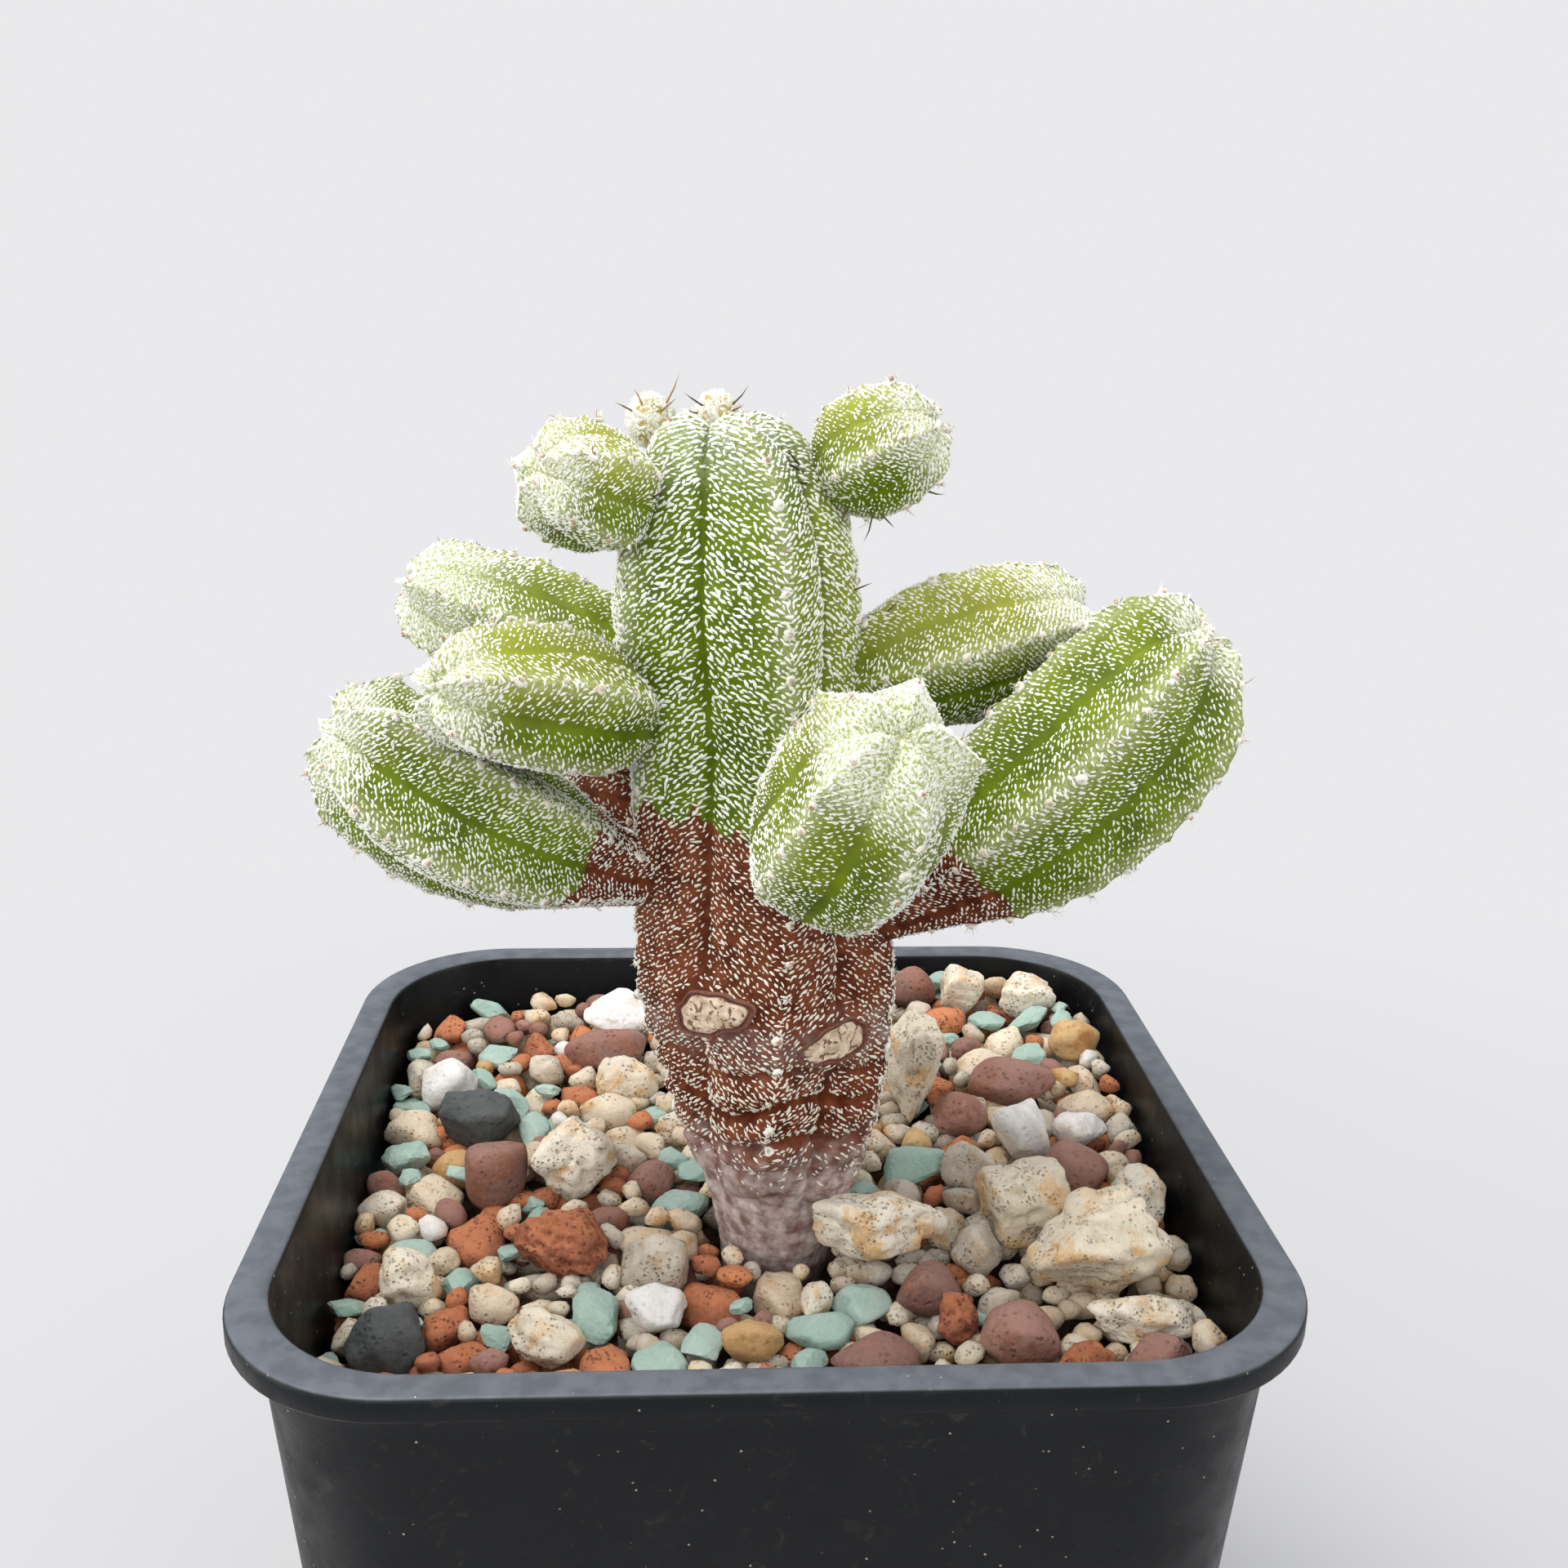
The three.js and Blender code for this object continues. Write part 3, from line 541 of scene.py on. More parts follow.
# %% Rows and measures of the stem
STEM_Y = -5.7
TWIST_TOP = 125.0
TWIST_PER_MM = 0.9
STEM_RIBS = (-58, 24, 84, 156, 228)
CREST_SWELL = 0.15
CREASE_DEPTH = 0.2
CREASE_WIDTH = 0.09
AREOLE_STEP = 3.6
GROOVE_DEPTH = 0.19
FACE_BULGE = 0.6
GROOVE_STARTS = (72, 92)
CROWN_DIP = 1.4
CROWN_STARTS = (146, 152)
FOLDS = ((81, 0.3), (85.2, 0.5), (88.6, 0.8), (92.0, 0.9), (95.6, 0.55))
FOLD_WIDTH = 0.6
STEM_CROWN = 151.2
# Height over the pot's base, place of the axis in X and radius over the crests.
STEM_LINE = [
    (50, 1.0, 1.0),
    (60, 1.0, 3.2),
    (68, 1.2, 4.4),
    (75, 1.7, 6.0),
    (80, 1.9, 7.4),
    (85, 1.7, 9.4),
    (90, 1.5, 10.7),
    (96, 1.0, 11.7),
    (102, 0.4, 12.4),
    (109, -0.2, 12.0),
    (116, -1.2, 11.4),
    (123, -2.1, 10.9),
    (130, -2.8, 10.9),
    (137, -3.2, 11.2),
    (143, -3.3, 10.3),
    (148, -3.6, 8.6),
    (151.4, -4.1, 6.2),
    (152.9, -4.5, 3.4),
]
BARK_BELOW = (84, 104)
NECK_BELOW = (82, 88)
SKIN_WRINKLE = 0.06
BARK_WRINKLE = 0.2
NECK_WRINKLE = 0.07
NECK_RING_STEP = 1.7
NECK_RING = 0.1
SWAY = 0.14
PER_FACE = 22
ROOT_RINGS = 10
STEM_RINGS = 170
ROOT_SHARE = 0.15
# Height, angle round the stem, half width and half height of each scar.
SCARS = ((101.8, -28.0, 3.8, 2.35), (98.9, 28.0, 3.5, 2.15))
SCAR_RADIUS = 0.95
# Between these distances from a scar's middle the grooves fill up to carry it.
SCAR_EASE = (1.05, 1.7)
print("rows of the stem:", len(STEM_LINE), "from", STEM_LINE[0][0], "to", STEM_LINE[-1][0], "mm")


# %% Helpers for the stem's radius, scars and folds
def stem_radius(z):
    """The stem's radius over its crests at a height."""
    return np.interp(z, [row[0] for row in STEM_LINE], [row[2] for row in STEM_LINE])


def scar_distance(z, angle, scar):
    """How far a place on the stem is from the middle of a scar: 1 on its rim."""
    scar_z, scar_angle, half_wide, half_high = scar
    across = np.radians((angle - scar_angle + 180) % 360 - 180) * stem_radius(z) * SCAR_RADIUS
    return np.hypot(across / half_wide, (z - scar_z) / half_high)


def column_angles(ribs, per_face):
    """Angles of the columns round a body and how near each is to a crest: 1 on it, 0 in the groove."""
    angles, shares = [], []
    for i, rib in enumerate(ribs):
        following = ribs[i + 1] if i + 1 < len(ribs) else ribs[0] + 360
        step = np.arange(2 * per_face)
        angles.append(rib + (following - rib) * step / (2 * per_face))
        shares.append(1 - np.minimum(step, 2 * per_face - step) / per_face)
    return np.concatenate(angles), np.concatenate(shares)


def close_crown(grid, middle, steps=6):
    """More rings from the last one in to a middle point."""
    shares = np.linspace(1, 0, steps + 2)[1:-1]
    inner = [middle + (grid[-1] - middle) * s for s in shares]
    return np.concatenate([grid, np.stack(inner)])


def fold_depth(z, angle):
    """How deep the folds of the old bark cut in at a height and an angle before the twist."""
    sag = 0.7 * np.cos(np.radians(angle * 5)) + 0.6 * np.sin(np.radians(angle * 2 + 25 * z))
    return sum(depth * np.exp(-(((z - at + sag) / FOLD_WIDTH) ** 2)) for at, depth in FOLDS)


print("deepest fold:", round(float(max(fold_depth(92.0, np.arange(360)))), 2), "mm")


# %% The stem's grid of points
def stem_grid(rng):
    root_places = np.linspace(0, ROOT_SHARE, ROOT_RINGS, endpoint=False)
    places = np.concatenate([root_places, np.linspace(ROOT_SHARE, 1, STEM_RINGS)])
    z, x, radius = (column[:, None] for column in through_rows(STEM_LINE, places).T)
    angles, share = column_angles(STEM_RIBS, PER_FACE)
    soft = share**FACE_BULGE
    rooted = smooth_step(z, *GROOVE_STARTS)
    groove = 1 - GROOVE_DEPTH * rooted
    reach = radius * (groove + (1 - groove) * soft)
    reach = reach + rooted * share**3 * CREST_SWELL * np.cos(2 * math.pi * z / AREOLE_STEP)
    reach = reach - rooted * CREASE_DEPTH * np.exp(-((share / CREASE_WIDTH) ** 2))
    reach = reach - fold_depth(z, angles)
    turned = angles - TWIST_PER_MM * np.maximum(0, TWIST_TOP - z)
    for scar in SCARS:
        near = 1 - smooth_step(scar_distance(z, turned, scar), *SCAR_EASE)
        reach = reach + near * np.maximum(SCAR_RADIUS * radius - reach, 0)
    turn = np.radians(turned)
    dip = CROWN_DIP * smooth_step(z, *CROWN_STARTS)
    place = np.stack([x + reach * np.sin(turn), STEM_Y - reach * np.cos(turn), z - dip * (1 - soft)], -1)
    outward = np.stack([np.sin(turn), -np.cos(turn), 0 * turn], -1)
    flat = place.reshape(-1, 3)
    bark = 1 - smooth_step(flat[:, 2], *BARK_BELOW)
    neck = 1 - smooth_step(flat[:, 2], *NECK_BELOW)
    wrinkles = ripple(flat * (1, 1, 2.2), 3.4, rng) * (SKIN_WRINKLE + BARK_WRINKLE * bark * (1 - neck))
    wrinkles += ripple(flat * (0.35, 0.35, 2.6), 3.0, rng) * NECK_WRINKLE * neck
    wrinkles += np.sin(2 * math.pi * flat[:, 2] / NECK_RING_STEP + flat[:, 0] * 0.5) * NECK_RING * neck
    wrinkles += ripple(flat, 9.0, rng) * SWAY
    grid = place + outward * wrinkles.reshape(z.size, -1, 1)
    return close_crown(grid, np.array([STEM_LINE[-1][1], STEM_Y, STEM_CROWN]))


stem_rng = np.random.default_rng(11)
stem_rows = stem_grid(stem_rng)
print("stem rings and columns:", stem_rows.shape[:2])


# %% A body with ribs
class Body:
    """A skin of rings and columns with five ribs, where any place is found by its ring and column."""

    def __init__(self, grid, foot, head):
        self.grid = grid
        self.rings, self.columns = grid.shape[:2]
        self.per_face = self.columns // 10
        self.points = np.concatenate([grid.reshape(-1, 3), [foot, head]])
        steps = np.linalg.norm(np.diff(grid, axis=0), axis=2)
        self.along = np.concatenate([[0], np.cumsum(steps.mean(1))])
        step = np.arange(self.columns) % (2 * self.per_face)
        share = 1 - np.minimum(step, 2 * self.per_face - step) / self.per_face
        self.share = np.concatenate([np.tile(share, self.rings), [0.5, 1.0]])
        self.run = np.concatenate([np.repeat(self.along, self.columns), [0, self.along[-1]]])

    def at(self, ring, column):
        """Places, normals and the directions round and up at fractional rings and columns."""
        ring = np.clip(ring, 0, self.rings - 1.001)
        column = np.mod(column, self.columns)
        a, b = ring.astype(int), column.astype(int) % self.columns
        c = (b + 1) % self.columns
        u, v = (ring - a)[:, None], (column - np.floor(column))[:, None]
        p00, p01, p10, p11 = self.grid[a, b], self.grid[a, c], self.grid[a + 1, b], self.grid[a + 1, c]
        place = (p00 * (1 - v) + p01 * v) * (1 - u) + (p10 * (1 - v) + p11 * v) * u
        around = unit((p01 - p00) * (1 - u) + (p11 - p10) * u)
        upward = unit((p10 - p00) * (1 - v) + (p11 - p01) * v)
        return place, unit(np.cross(around, upward)), around, upward


stem_foot = np.array([STEM_LINE[0][1], STEM_Y, STEM_LINE[0][0]])
stem_body = Body(stem_rows, stem_foot, np.array([STEM_LINE[-1][1], STEM_Y, STEM_CROWN]))
print("length of the stem's skin:", round(float(stem_body.along[-1]), 1), "mm")

# %% [markdown]
# ## The skin's finish
#
# Under its wool the plant is bright green in the grooves and greyer towards the crests. Old skin turns
# to red-brown bark from the foot up, in a ragged edge, and the neck in the gravel is pale grey cork. The
# mesh stores how old each point is, and the finish turns that age into colour and roughness.


# %% Living skin and bark
def cactus_skin():
    f = Finish("cactus_skin", 0.5)
    age = f.math("ADD", f.trait("age"), f.math("MULTIPLY", f.math("SUBTRACT", f.noise(1.6, 5.0), 0.5), 0.5))
    green = f.mix(f.step(f.noise(4.0), 0.3, 0.7), paint(66, 86, 0), paint(100, 120, 8))
    green = f.mix(f.step(f.trait("share"), 0.45, 1.0), green, paint(112, 126, 34))
    # Painted sunlight: where the light falls, the skin is mixed toward a pale yellow-green.
    green = f.mix(f.trait("painted_light"), green, paint(184, 182, 80))
    felt = f.mix(f.step(f.noise(0.25, 3.0), 0.4, 0.6), paint(150, 160, 96), paint(222, 222, 204))
    green = f.mix(f.trait("wool"), green, felt)
    brown = f.mix(f.step(f.noise(2.0, 6.0), 0.3, 0.7), paint(72, 27, 10), paint(118, 62, 38))
    cork = f.mix(f.step(f.noise(1.3, 7.0), 0.3, 0.7), paint(132, 108, 102), paint(216, 204, 198))
    bark = f.mix(f.step(age, 1.35, 2.1), brown, cork)
    colour = f.mix(f.step(age, 0.4, 0.62), green, bark)
    roughness = f.step(age, 0.4, 1.6, 0.42, 0.9)
    cracks = f.math("MULTIPLY", f.step(age, 0.9, 1.8), f.cells(1.3, "DISTANCE_TO_EDGE"))
    relief = f.bump(f.math("ADD", f.noise(0.5, 4.0), cracks), 0.12, 0.7)
    f.shader.inputs["Specular IOR Level"].default_value = 0.12
    f.shader.inputs["Subsurface Weight"].default_value = 0.12
    f.shader.inputs["Subsurface Radius"].default_value = (0.6, 1.0, 0.25)
    f.shader.inputs["Subsurface Scale"].default_value = 0.0012
    return f.wear(colour, roughness, relief)


BARK_EDGE = 119.3
BARK_EDGE_SOFT = 1.6
BARK_SLOPE = 0.45
BARK_SLOPE_FROM = -6
# Heights between which each change of the bark runs, and how much it adds below.
PALE_BARK = ((98, 109), 0.56)
RED_BARK = ((92, 99), -0.3)
CORK = ((80, 94), 0.62)


def stem_age(points):
    """0 on green skin, 1 on bark and nearly 2 on the cork of the neck."""
    x, y, z = points.T
    edge = BARK_EDGE - BARK_SLOPE * np.maximum(x - BARK_SLOPE_FROM, 0)
    edge = edge + 0.7 * np.sin(1.7 * x) + 0.5 * np.sin(4.1 * x + 2.0 * y)
    bark = 1 - smooth_step(z, edge - BARK_EDGE_SOFT, edge + BARK_EDGE_SOFT)
    layers = (PALE_BARK, RED_BARK, CORK)
    return bark + sum(more * (1 - smooth_step(z, *heights)) for heights, more in layers)


def dress_body(name, body, age, painted_light, veil):
    """The skin of a stem, with the traits that its finish reads."""
    traits = {"age": age, "share": body.share, "painted_light": painted_light, "wool": veil}
    faces = skin_faces(body.rings, body.columns)
    return build_piece(name, body.points, faces, skin_finish, traits=traits)


skin_finish = cactus_skin()
stem_x, _, stem_z = stem_body.points.T
crest_veil = 0.25 * smooth_step(stem_body.share, 0.72, 1.0) * smooth_step(stem_z, 112, 120)
stem_veil = np.maximum(crest_veil, 0.3 * smooth_step(stem_z, 145, 152))
# Painted sunlight on the stem's right side.
stem_painted_light = 0.25 * smooth_step(stem_x, 1.0, 5.0)
main_stem = dress_body("stem", stem_body, stem_age(stem_body.points), stem_painted_light, stem_veil)
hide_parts("main_stem")
print("stem faces:", len(main_stem.data.polygons))

# %% [markdown]
# ## The offsets
#
# Nine young stems stand out from the old one, each on a narrow neck. Two forms of rows serve them all: a
# long club and a plump barrel, given as shares of each offset's own length and radius. The groove lags
# behind the crest at the tip, which leaves the five lobes that stand round the growing point.

# %% Forms and places of the offsets
# Place along the axis, radius share, groove share and how far the groove lags.
CLUB = [
    (0.0, 0.34, 0.95, 0.0),
    (0.07, 0.42, 0.93, 0.0),
    (0.17, 0.55, 0.88, 0.0),
    (0.31, 0.8, 0.8, 0.0),
    (0.47, 0.96, 0.76, 0.0),
    (0.63, 1.0, 0.75, 0.0),
    (0.78, 0.94, 0.74, 0.01),
    (0.89, 0.78, 0.7, 0.02),
    (0.96, 0.57, 0.66, 0.035),
    (1.0, 0.34, 0.62, 0.05),
    (0.985, 0.14, 0.8, 0.03),
]
BARREL = [
    (0.0, 0.36, 0.95, 0.0),
    (0.05, 0.5, 0.92, 0.0),
    (0.13, 0.72, 0.86, 0.0),
    (0.26, 0.92, 0.8, 0.0),
    (0.42, 1.0, 0.77, 0.0),
    (0.58, 0.99, 0.76, 0.0),
    (0.74, 0.9, 0.74, 0.01),
    (0.87, 0.75, 0.76, 0.02),
    (0.96, 0.54, 0.73, 0.04),
    (1.0, 0.32, 0.7, 0.05),
    (0.98, 0.13, 0.8, 0.03),
]
APEX = 0.945
OFFSET_FACE = 12
OFFSET_RIB_STEP = 72
# Foot, tip, bow, radius, first rib's angle, form, rings, how much painted sunlight yellows the skin's top
# and how far bark climbs it.
OFFSETS = {
    "upper_left": ((-11.0, -9.2, 145.2), (-19.3, -16.8, 148.9), 0.0, 5.5, 10, BARREL, 46, 0.55, 0.3),
    "upper_right": ((4.4, -6.4, 147.0), (14.0, -9.6, 152.4), 0.3, 5.5, 22, BARREL, 46, 0.4, 0.3),
    "middle_left": ((-10.6, -10.4, 127.0), (-27.2, -23.6, 132.6), 0.3, 6.3, -68, BARREL, 60, 0.4, 0.5),
    "back_left": ((-9.6, 1.2, 127.6), (-34.0, 9.2, 135.4), 0.4, 6.4, -72, BARREL, 60, 0.2, 0.5),
    "lower_left": ((-10.0, -9.0, 111.8), (-36.9, -16.4, 128.0), -1.9, 7.8, -46, CLUB, 72, 0.1, 8.5),
    "stub_left": ((-8.5, 0.6, 115.2), (-19.2, 4.4, 117.4), 0.0, 3.0, -40, BARREL, 34, 0.3, 14.0),
    "front": ((3.0, -15.2, 114.4), (8.6, -36.0, 133.0), -1.2, 8.0, -30, BARREL, 64, 0.25, 1.0),
    "middle_right": ((6.6, -5.6, 129.0), (29.6, -0.6, 134.6), 0.6, 7.0, 84, BARREL, 64, 0.55, 0.5),
    "lower_right": ((9.6, -8.6, 108.6), (37.2, -14.4, 136.2), -2.4, 9.5, 80, CLUB, 84, 0.1, 12.0),
}
# How deep the grooves of each offset are, as a share of its form's.
GROOVES = {
    "upper_left": 0.6,
    "upper_right": 0.5,
    "middle_left": 0.65,
    "back_left": 0.75,
    "lower_left": 0.85,
    "stub_left": 0.8,
    "front": 0.5,
    "middle_right": 0.75,
    "lower_right": 0.85,
}
OFFSET_NOTCH = 0.35
OFFSET_CREASE = 0.08
OFFSET_CREASE_WIDTH = 0.12
OFFSET_SWAY = 0.12
# How far the last areole of each rib stands out near the tip, and over what share of the length.
KNOBS = {"front": 1.0, "back_left": 0.7, "lower_right": 0.6, "lower_left": 0.5}
SMALL_KNOB = 0.3
KNOB_AT = 0.87
KNOB_LENGTH = 0.06
print("offsets to make:", ", ".join(OFFSETS))


# %% The shape of one offset
def offset_body(name, foot, tip, bow, radius, rib, form, rings, rng):
    start = np.array(foot)
    run = np.array(tip) - start
    length = np.linalg.norm(run)
    forward = unit(run)
    upward = unit(np.array([0, 0, 1]) - forward * forward[2])
    sideways = np.cross(forward, upward)
    angles, share = column_angles([rib + OFFSET_RIB_STEP * i for i in range(5)], OFFSET_FACE)
    rows = through_rows(form, np.linspace(0, 1, rings))
    along, width, groove, lag = (column[:, None] for column in rows.T)
    groove = 1 - GROOVES[name] * (1 - groove)
    peaks = np.maximum(np.cos(2 * math.pi * along * length / AREOLE_STEP), 0) ** 3
    notch = smooth_step(width, 0.4, 0.6) * share**4 * OFFSET_NOTCH * peaks
    knob = share**4 * np.exp(-(((along - KNOB_AT) / KNOB_LENGTH) ** 2))
    notch = notch + KNOBS.get(name, SMALL_KNOB) * knob
    reach = radius * width * (groove + (1 - groove) * share**1.1) + notch
    crease = OFFSET_CREASE * np.exp(-((share / OFFSET_CREASE_WIDTH) ** 2))
    reach = reach - smooth_step(along, 0.1, 0.3) * crease
    turn = np.radians(angles)
    outward = upward * np.cos(turn)[:, None] + sideways * np.sin(turn)[:, None]
    behind = (along - lag * (1 - share))[..., None]
    middle = start + run * behind + upward * bow * 4 * behind * (1 - behind)
    place = middle + outward * reach[..., None]
    relief = ripple(place.reshape(-1, 3), 5.0, rng) * OFFSET_SWAY
    grid = place + outward * relief.reshape(rings, -1, 1)
    apex = start + run * APEX + upward * bow * 4 * APEX * (1 - APEX)
    return Body(close_crown(grid, apex, 4), start, apex)


print("columns round an offset:", 10 * OFFSET_FACE)


# %% Make the offsets
UNDERSIDE = 6
OFFSET_BARK_SOFT = 1.5


def offset_age(body, bark_reach, rng):
    """Bark climbs from the foot, higher on the underside than on top."""
    below = np.clip(-(body.points - body.points[-2])[:, 2], 0, UNDERSIDE) / UNDERSIDE
    ragged = ripple(body.points, 4.0, rng) * 0.8
    run = body.run + ragged - 1.5 * below
    return 1 - smooth_step(run, bark_reach - OFFSET_BARK_SOFT, bark_reach + OFFSET_BARK_SOFT)


# The share of each offset's length from which wool covers its young tip.
WOOL_FROM = {
    "upper_left": 0.6,
    "upper_right": 0.55,
    "middle_left": 0.72,
    "back_left": 0.5,
    "lower_left": 0.8,
    "stub_left": 0.7,
    "front": 0.72,
    "middle_right": 0.6,
    "lower_right": 0.86,
}
CREST_VEIL = 0.3
TIP_VEIL = 0.7
FRONT_TIP_VEIL = 0.9


def offset_veil(name, body):
    """How far wool veils the crests and hides the skin at the tip."""
    end, start = body.along[-1], WOOL_FROM[name]
    crest = CREST_VEIL * smooth_step(body.share, 0.6, 1.0) * smooth_step(body.run, 0.1 * end, 0.4 * end)
    tip = FRONT_TIP_VEIL if name == "front" else TIP_VEIL
    return np.maximum(crest, tip * smooth_step(body.run, start * end, (0.5 + 0.5 * start) * end))


offset_rng = np.random.default_rng(23)
offset_bodies = {}
for name, (foot, tip, bow, radius, rib, form, rings, painted_light, bark_reach) in OFFSETS.items():
    body = offset_body(name, foot, tip, bow, radius, rib, form, rings, offset_rng)
    age = offset_age(body, bark_reach, offset_rng)
    body_z = body.points[:, 2]
    # Painted sunlight on each offset, growing toward its top.
    painted_top_light = painted_light * smooth_step(body_z, body_z.min() + 2, body_z.max())
    piece = dress_body(f"young_{name}", body, age, painted_top_light, offset_veil(name, body))
    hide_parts(f"offset_{name}")
    offset_bodies[name] = body
print("offsets:", {name: round(float(body.along[-1]), 1) for name, body in offset_bodies.items()})

# %% [markdown]
# ## Woolly flecks
#
# What makes this species grey is thousands of flecks, each a tuft of tiny hairs about 0.7 mm long. They
# stand in rows that run from each groove down to the crest beside it, and the grooves stay bare and
# green. A picture or a noise can't give their relief, so each fleck is a small ragged mound of its own,
# set on the skin by its length along the body and its distance from the groove.

# %% Places for flecks
# How far a row of flecks climbs for each step that it takes toward the groove.
LEAN = 0.75
# How far a fleck strays along its row, and its row strays along the body, as shares of their steps.
STRAY = 0.3
ROW_STRAY = 0.2
FLECK_SINK = 0.06
FLECK_SIDES = 5
RAGGED = (0.6, 1.25)
TAIL = 1.35
TOP_STRAY = 0.05


def fleck_places(body, rng, start, end, pitch, spacing, bare):
    """For each fleck its fractional ring and column, its side of the crest and its way from the groove."""
    found = []
    for rib in range(5):
        for side in (-1, 1):
            crest = 2 * body.per_face * rib
            columns = (crest + side * np.arange(body.per_face + 1)) % body.columns
            widths = np.linalg.norm(np.diff(body.grid[:, columns], axis=1), axis=2).sum(1)
            rows = np.arange(start, end + LEAN * widths.max(), pitch)
            steps = np.arange(0, widths.max() / spacing + 1)
            row, step = (part.ravel() for part in np.meshgrid(rows, steps, indexing="ij"))
            stagger = 0.5 * spacing * (np.round(row / pitch) % 2)
            across = bare + stagger + spacing * (step + rng.uniform(-STRAY, STRAY, len(step)))
            reach = row - LEAN * across + rng.uniform(-ROW_STRAY, ROW_STRAY, len(step)) * pitch
            width = np.interp(reach, body.along, widths)
            keep = (across < width) & (reach > start) & (reach < end)
            across, reach, width = across[keep], reach[keep], width[keep]
            ring = np.interp(reach, body.along, np.arange(body.rings))
            column = crest + side * body.per_face * (1 - across / width)
            found.append(np.stack([ring, column, np.full(len(ring), side), across / width], 1))
    return np.concatenate(found)


def ragged_mounds(places, normals, directions, long, wide, high, rng):
    """Small mounds with ragged rims: their points and their faces."""
    count = len(places)
    across = np.cross(normals, directions)
    turn = np.linspace(0, 2 * math.pi, FLECK_SIDES, endpoint=False)
    ragged = rng.uniform(*RAGGED, (count, FLECK_SIDES, 1))
    ragged[:, 0] *= TAIL
    rim = places[:, None] - FLECK_SINK * normals[:, None]
    rim = rim + ragged * np.cos(turn)[None, :, None] * (long[:, None] * directions)[:, None]
    rim = rim + ragged * np.sin(turn)[None, :, None] * (wide[:, None] * across)[:, None]
    top = places + high[:, None] * normals + rng.normal(0, TOP_STRAY, (count, 3))
    points = np.concatenate([rim, top[:, None]], 1).reshape(-1, 3)
    first = np.arange(count)[:, None] * (FLECK_SIDES + 1)
    side = np.arange(FLECK_SIDES)[None]
    faces = np.stack([first + side, first + (side + 1) % FLECK_SIDES, first + FLECK_SIDES + 0 * side], -1)
    return points, faces.reshape(-1, 3)


print("faces of a fleck:", FLECK_SIDES)


# %% Finish of wool
def wool():
    f = Finish("white_wool", 0.9)
    f.shader.inputs["Sheen Weight"].default_value = 0.25
    f.shader.inputs["Sheen Roughness"].default_value = 0.5
    tint = f.trait("tint")
    clean = f.mix(f.step(tint, 0.0, 0.8), paint(238, 241, 233), paint(222, 218, 200))
    dusty = f.mix(f.step(tint, 0.9, 2.0), clean, paint(196, 172, 146))
    brown = f.mix(f.step(tint, 2.0, 3.0), dusty, paint(160, 108, 88))
    colour = f.mix(f.step(f.noise(0.25, 2.0), 0.3, 0.7, 0.0, 0.25), brown, paint(186, 180, 160))
    return f.wear(colour, None, f.bump(f.noise(0.12, 2.0), 0.04, 0.6))


wool_finish = wool()
print("wool finish ready")


# %% Sow flecks on a body
# How far flecks turn from their row, how long a fleck is for its size, and its width and height.
FLECK_TURN = 0.36
FLECK_LONG = (0.85, 1.5)
FLECK_WIDE = 0.54
FLECK_HIGH = 0.45


def add_flecks(name, body, rng, run, sowing, sizes, tint, skip=None):
    """Flecks over a run of the body, more of them near the tip, with their sizes at groove and crest."""
    start, end, woolly = run
    pitch, spacing, bare = sowing
    rows = [fleck_places(body, rng, start, end, pitch, spacing, bare)]
    rows.append(fleck_places(body, rng, woolly, end, pitch, spacing, bare * 0.3))
    where = np.concatenate(rows)
    if skip is not None:
        where = where[~skip(where[:, 0], where[:, 1])]
    places, normals, around, upward = body.at(where[:, 0], where[:, 1])
    toward_crest = -where[:, 2:3] * around
    turned = rng.normal(0, FLECK_TURN, (len(where), 1))
    slope = unit(toward_crest - LEAN * upward)
    directions = unit(slope * np.cos(turned) + np.cross(normals, slope) * np.sin(turned))
    at_groove, at_crest = sizes
    grown = (at_groove + (at_crest - at_groove) * where[:, 3]) * rng.uniform(0.8, 1.2, len(where))
    if body is stem_body:
        green = smooth_step(places[:, 2], BARK_EDGE - 3, BARK_EDGE + 1)
        grown *= 0.8 + 0.2 * green + 0.04 * (1 - smooth_step(places[:, 2], 98, 106))
    long = grown * rng.uniform(*FLECK_LONG, len(where))
    wide, high = FLECK_WIDE * grown, FLECK_HIGH * grown
    points, faces = ragged_mounds(places, normals, directions, long, wide, high, rng)
    tints = np.repeat(tint(places) + rng.uniform(0, 0.4, len(where)), FLECK_SIDES + 1)
    build_piece(name, points, [faces], wool_finish, traits={"tint": tints})
    print(name, len(where), "flecks")


# %% Flecks on the main stem and the offsets
BARE_FOLD = 0.5
BARE_NECK = (81.5, 91)
LOWEST_FLECKS = 82.5


def stem_bare(ring, column):
    """Which places on the stem stay bare: the scars, the bottoms of the folds and most of the neck."""
    place = stem_body.at(ring, column)[0]
    angles, _ = column_angles(STEM_RIBS, PER_FACE)
    angle = np.interp(np.mod(column, stem_body.columns), np.arange(len(angles)), angles)
    turned = angle - TWIST_PER_MM * np.maximum(0, TWIST_TOP - place[:, 2])
    bare = fold_depth(place[:, 2], angle) > BARE_FOLD
    bare |= fleck_rng.random(len(ring)) > smooth_step(place[:, 2], *BARE_NECK)
    for scar in SCARS:
        bare |= scar_distance(place[:, 2], turned, scar) < 1.0
    return bare


def stem_tint(places):
    """Flecks are white on green skin and get dustier down the bark."""
    z = places[:, 2]
    return 0.5 + 0.4 * (1 - smooth_step(z, 84, 100)) - 0.5 * smooth_step(z, 116, 122)


def offset_tint(places):
    return np.full(len(places), 0.1)


# Sizes of flecks at the groove and at the crest.
STEM_FLECKS = (0.34, 0.36)
OFFSET_FLECKS = (0.24, 0.31)
YOUNGEST = ("upper_left", "upper_right", "stub_left", "front")
YOUNGEST_SHARE = 0.9
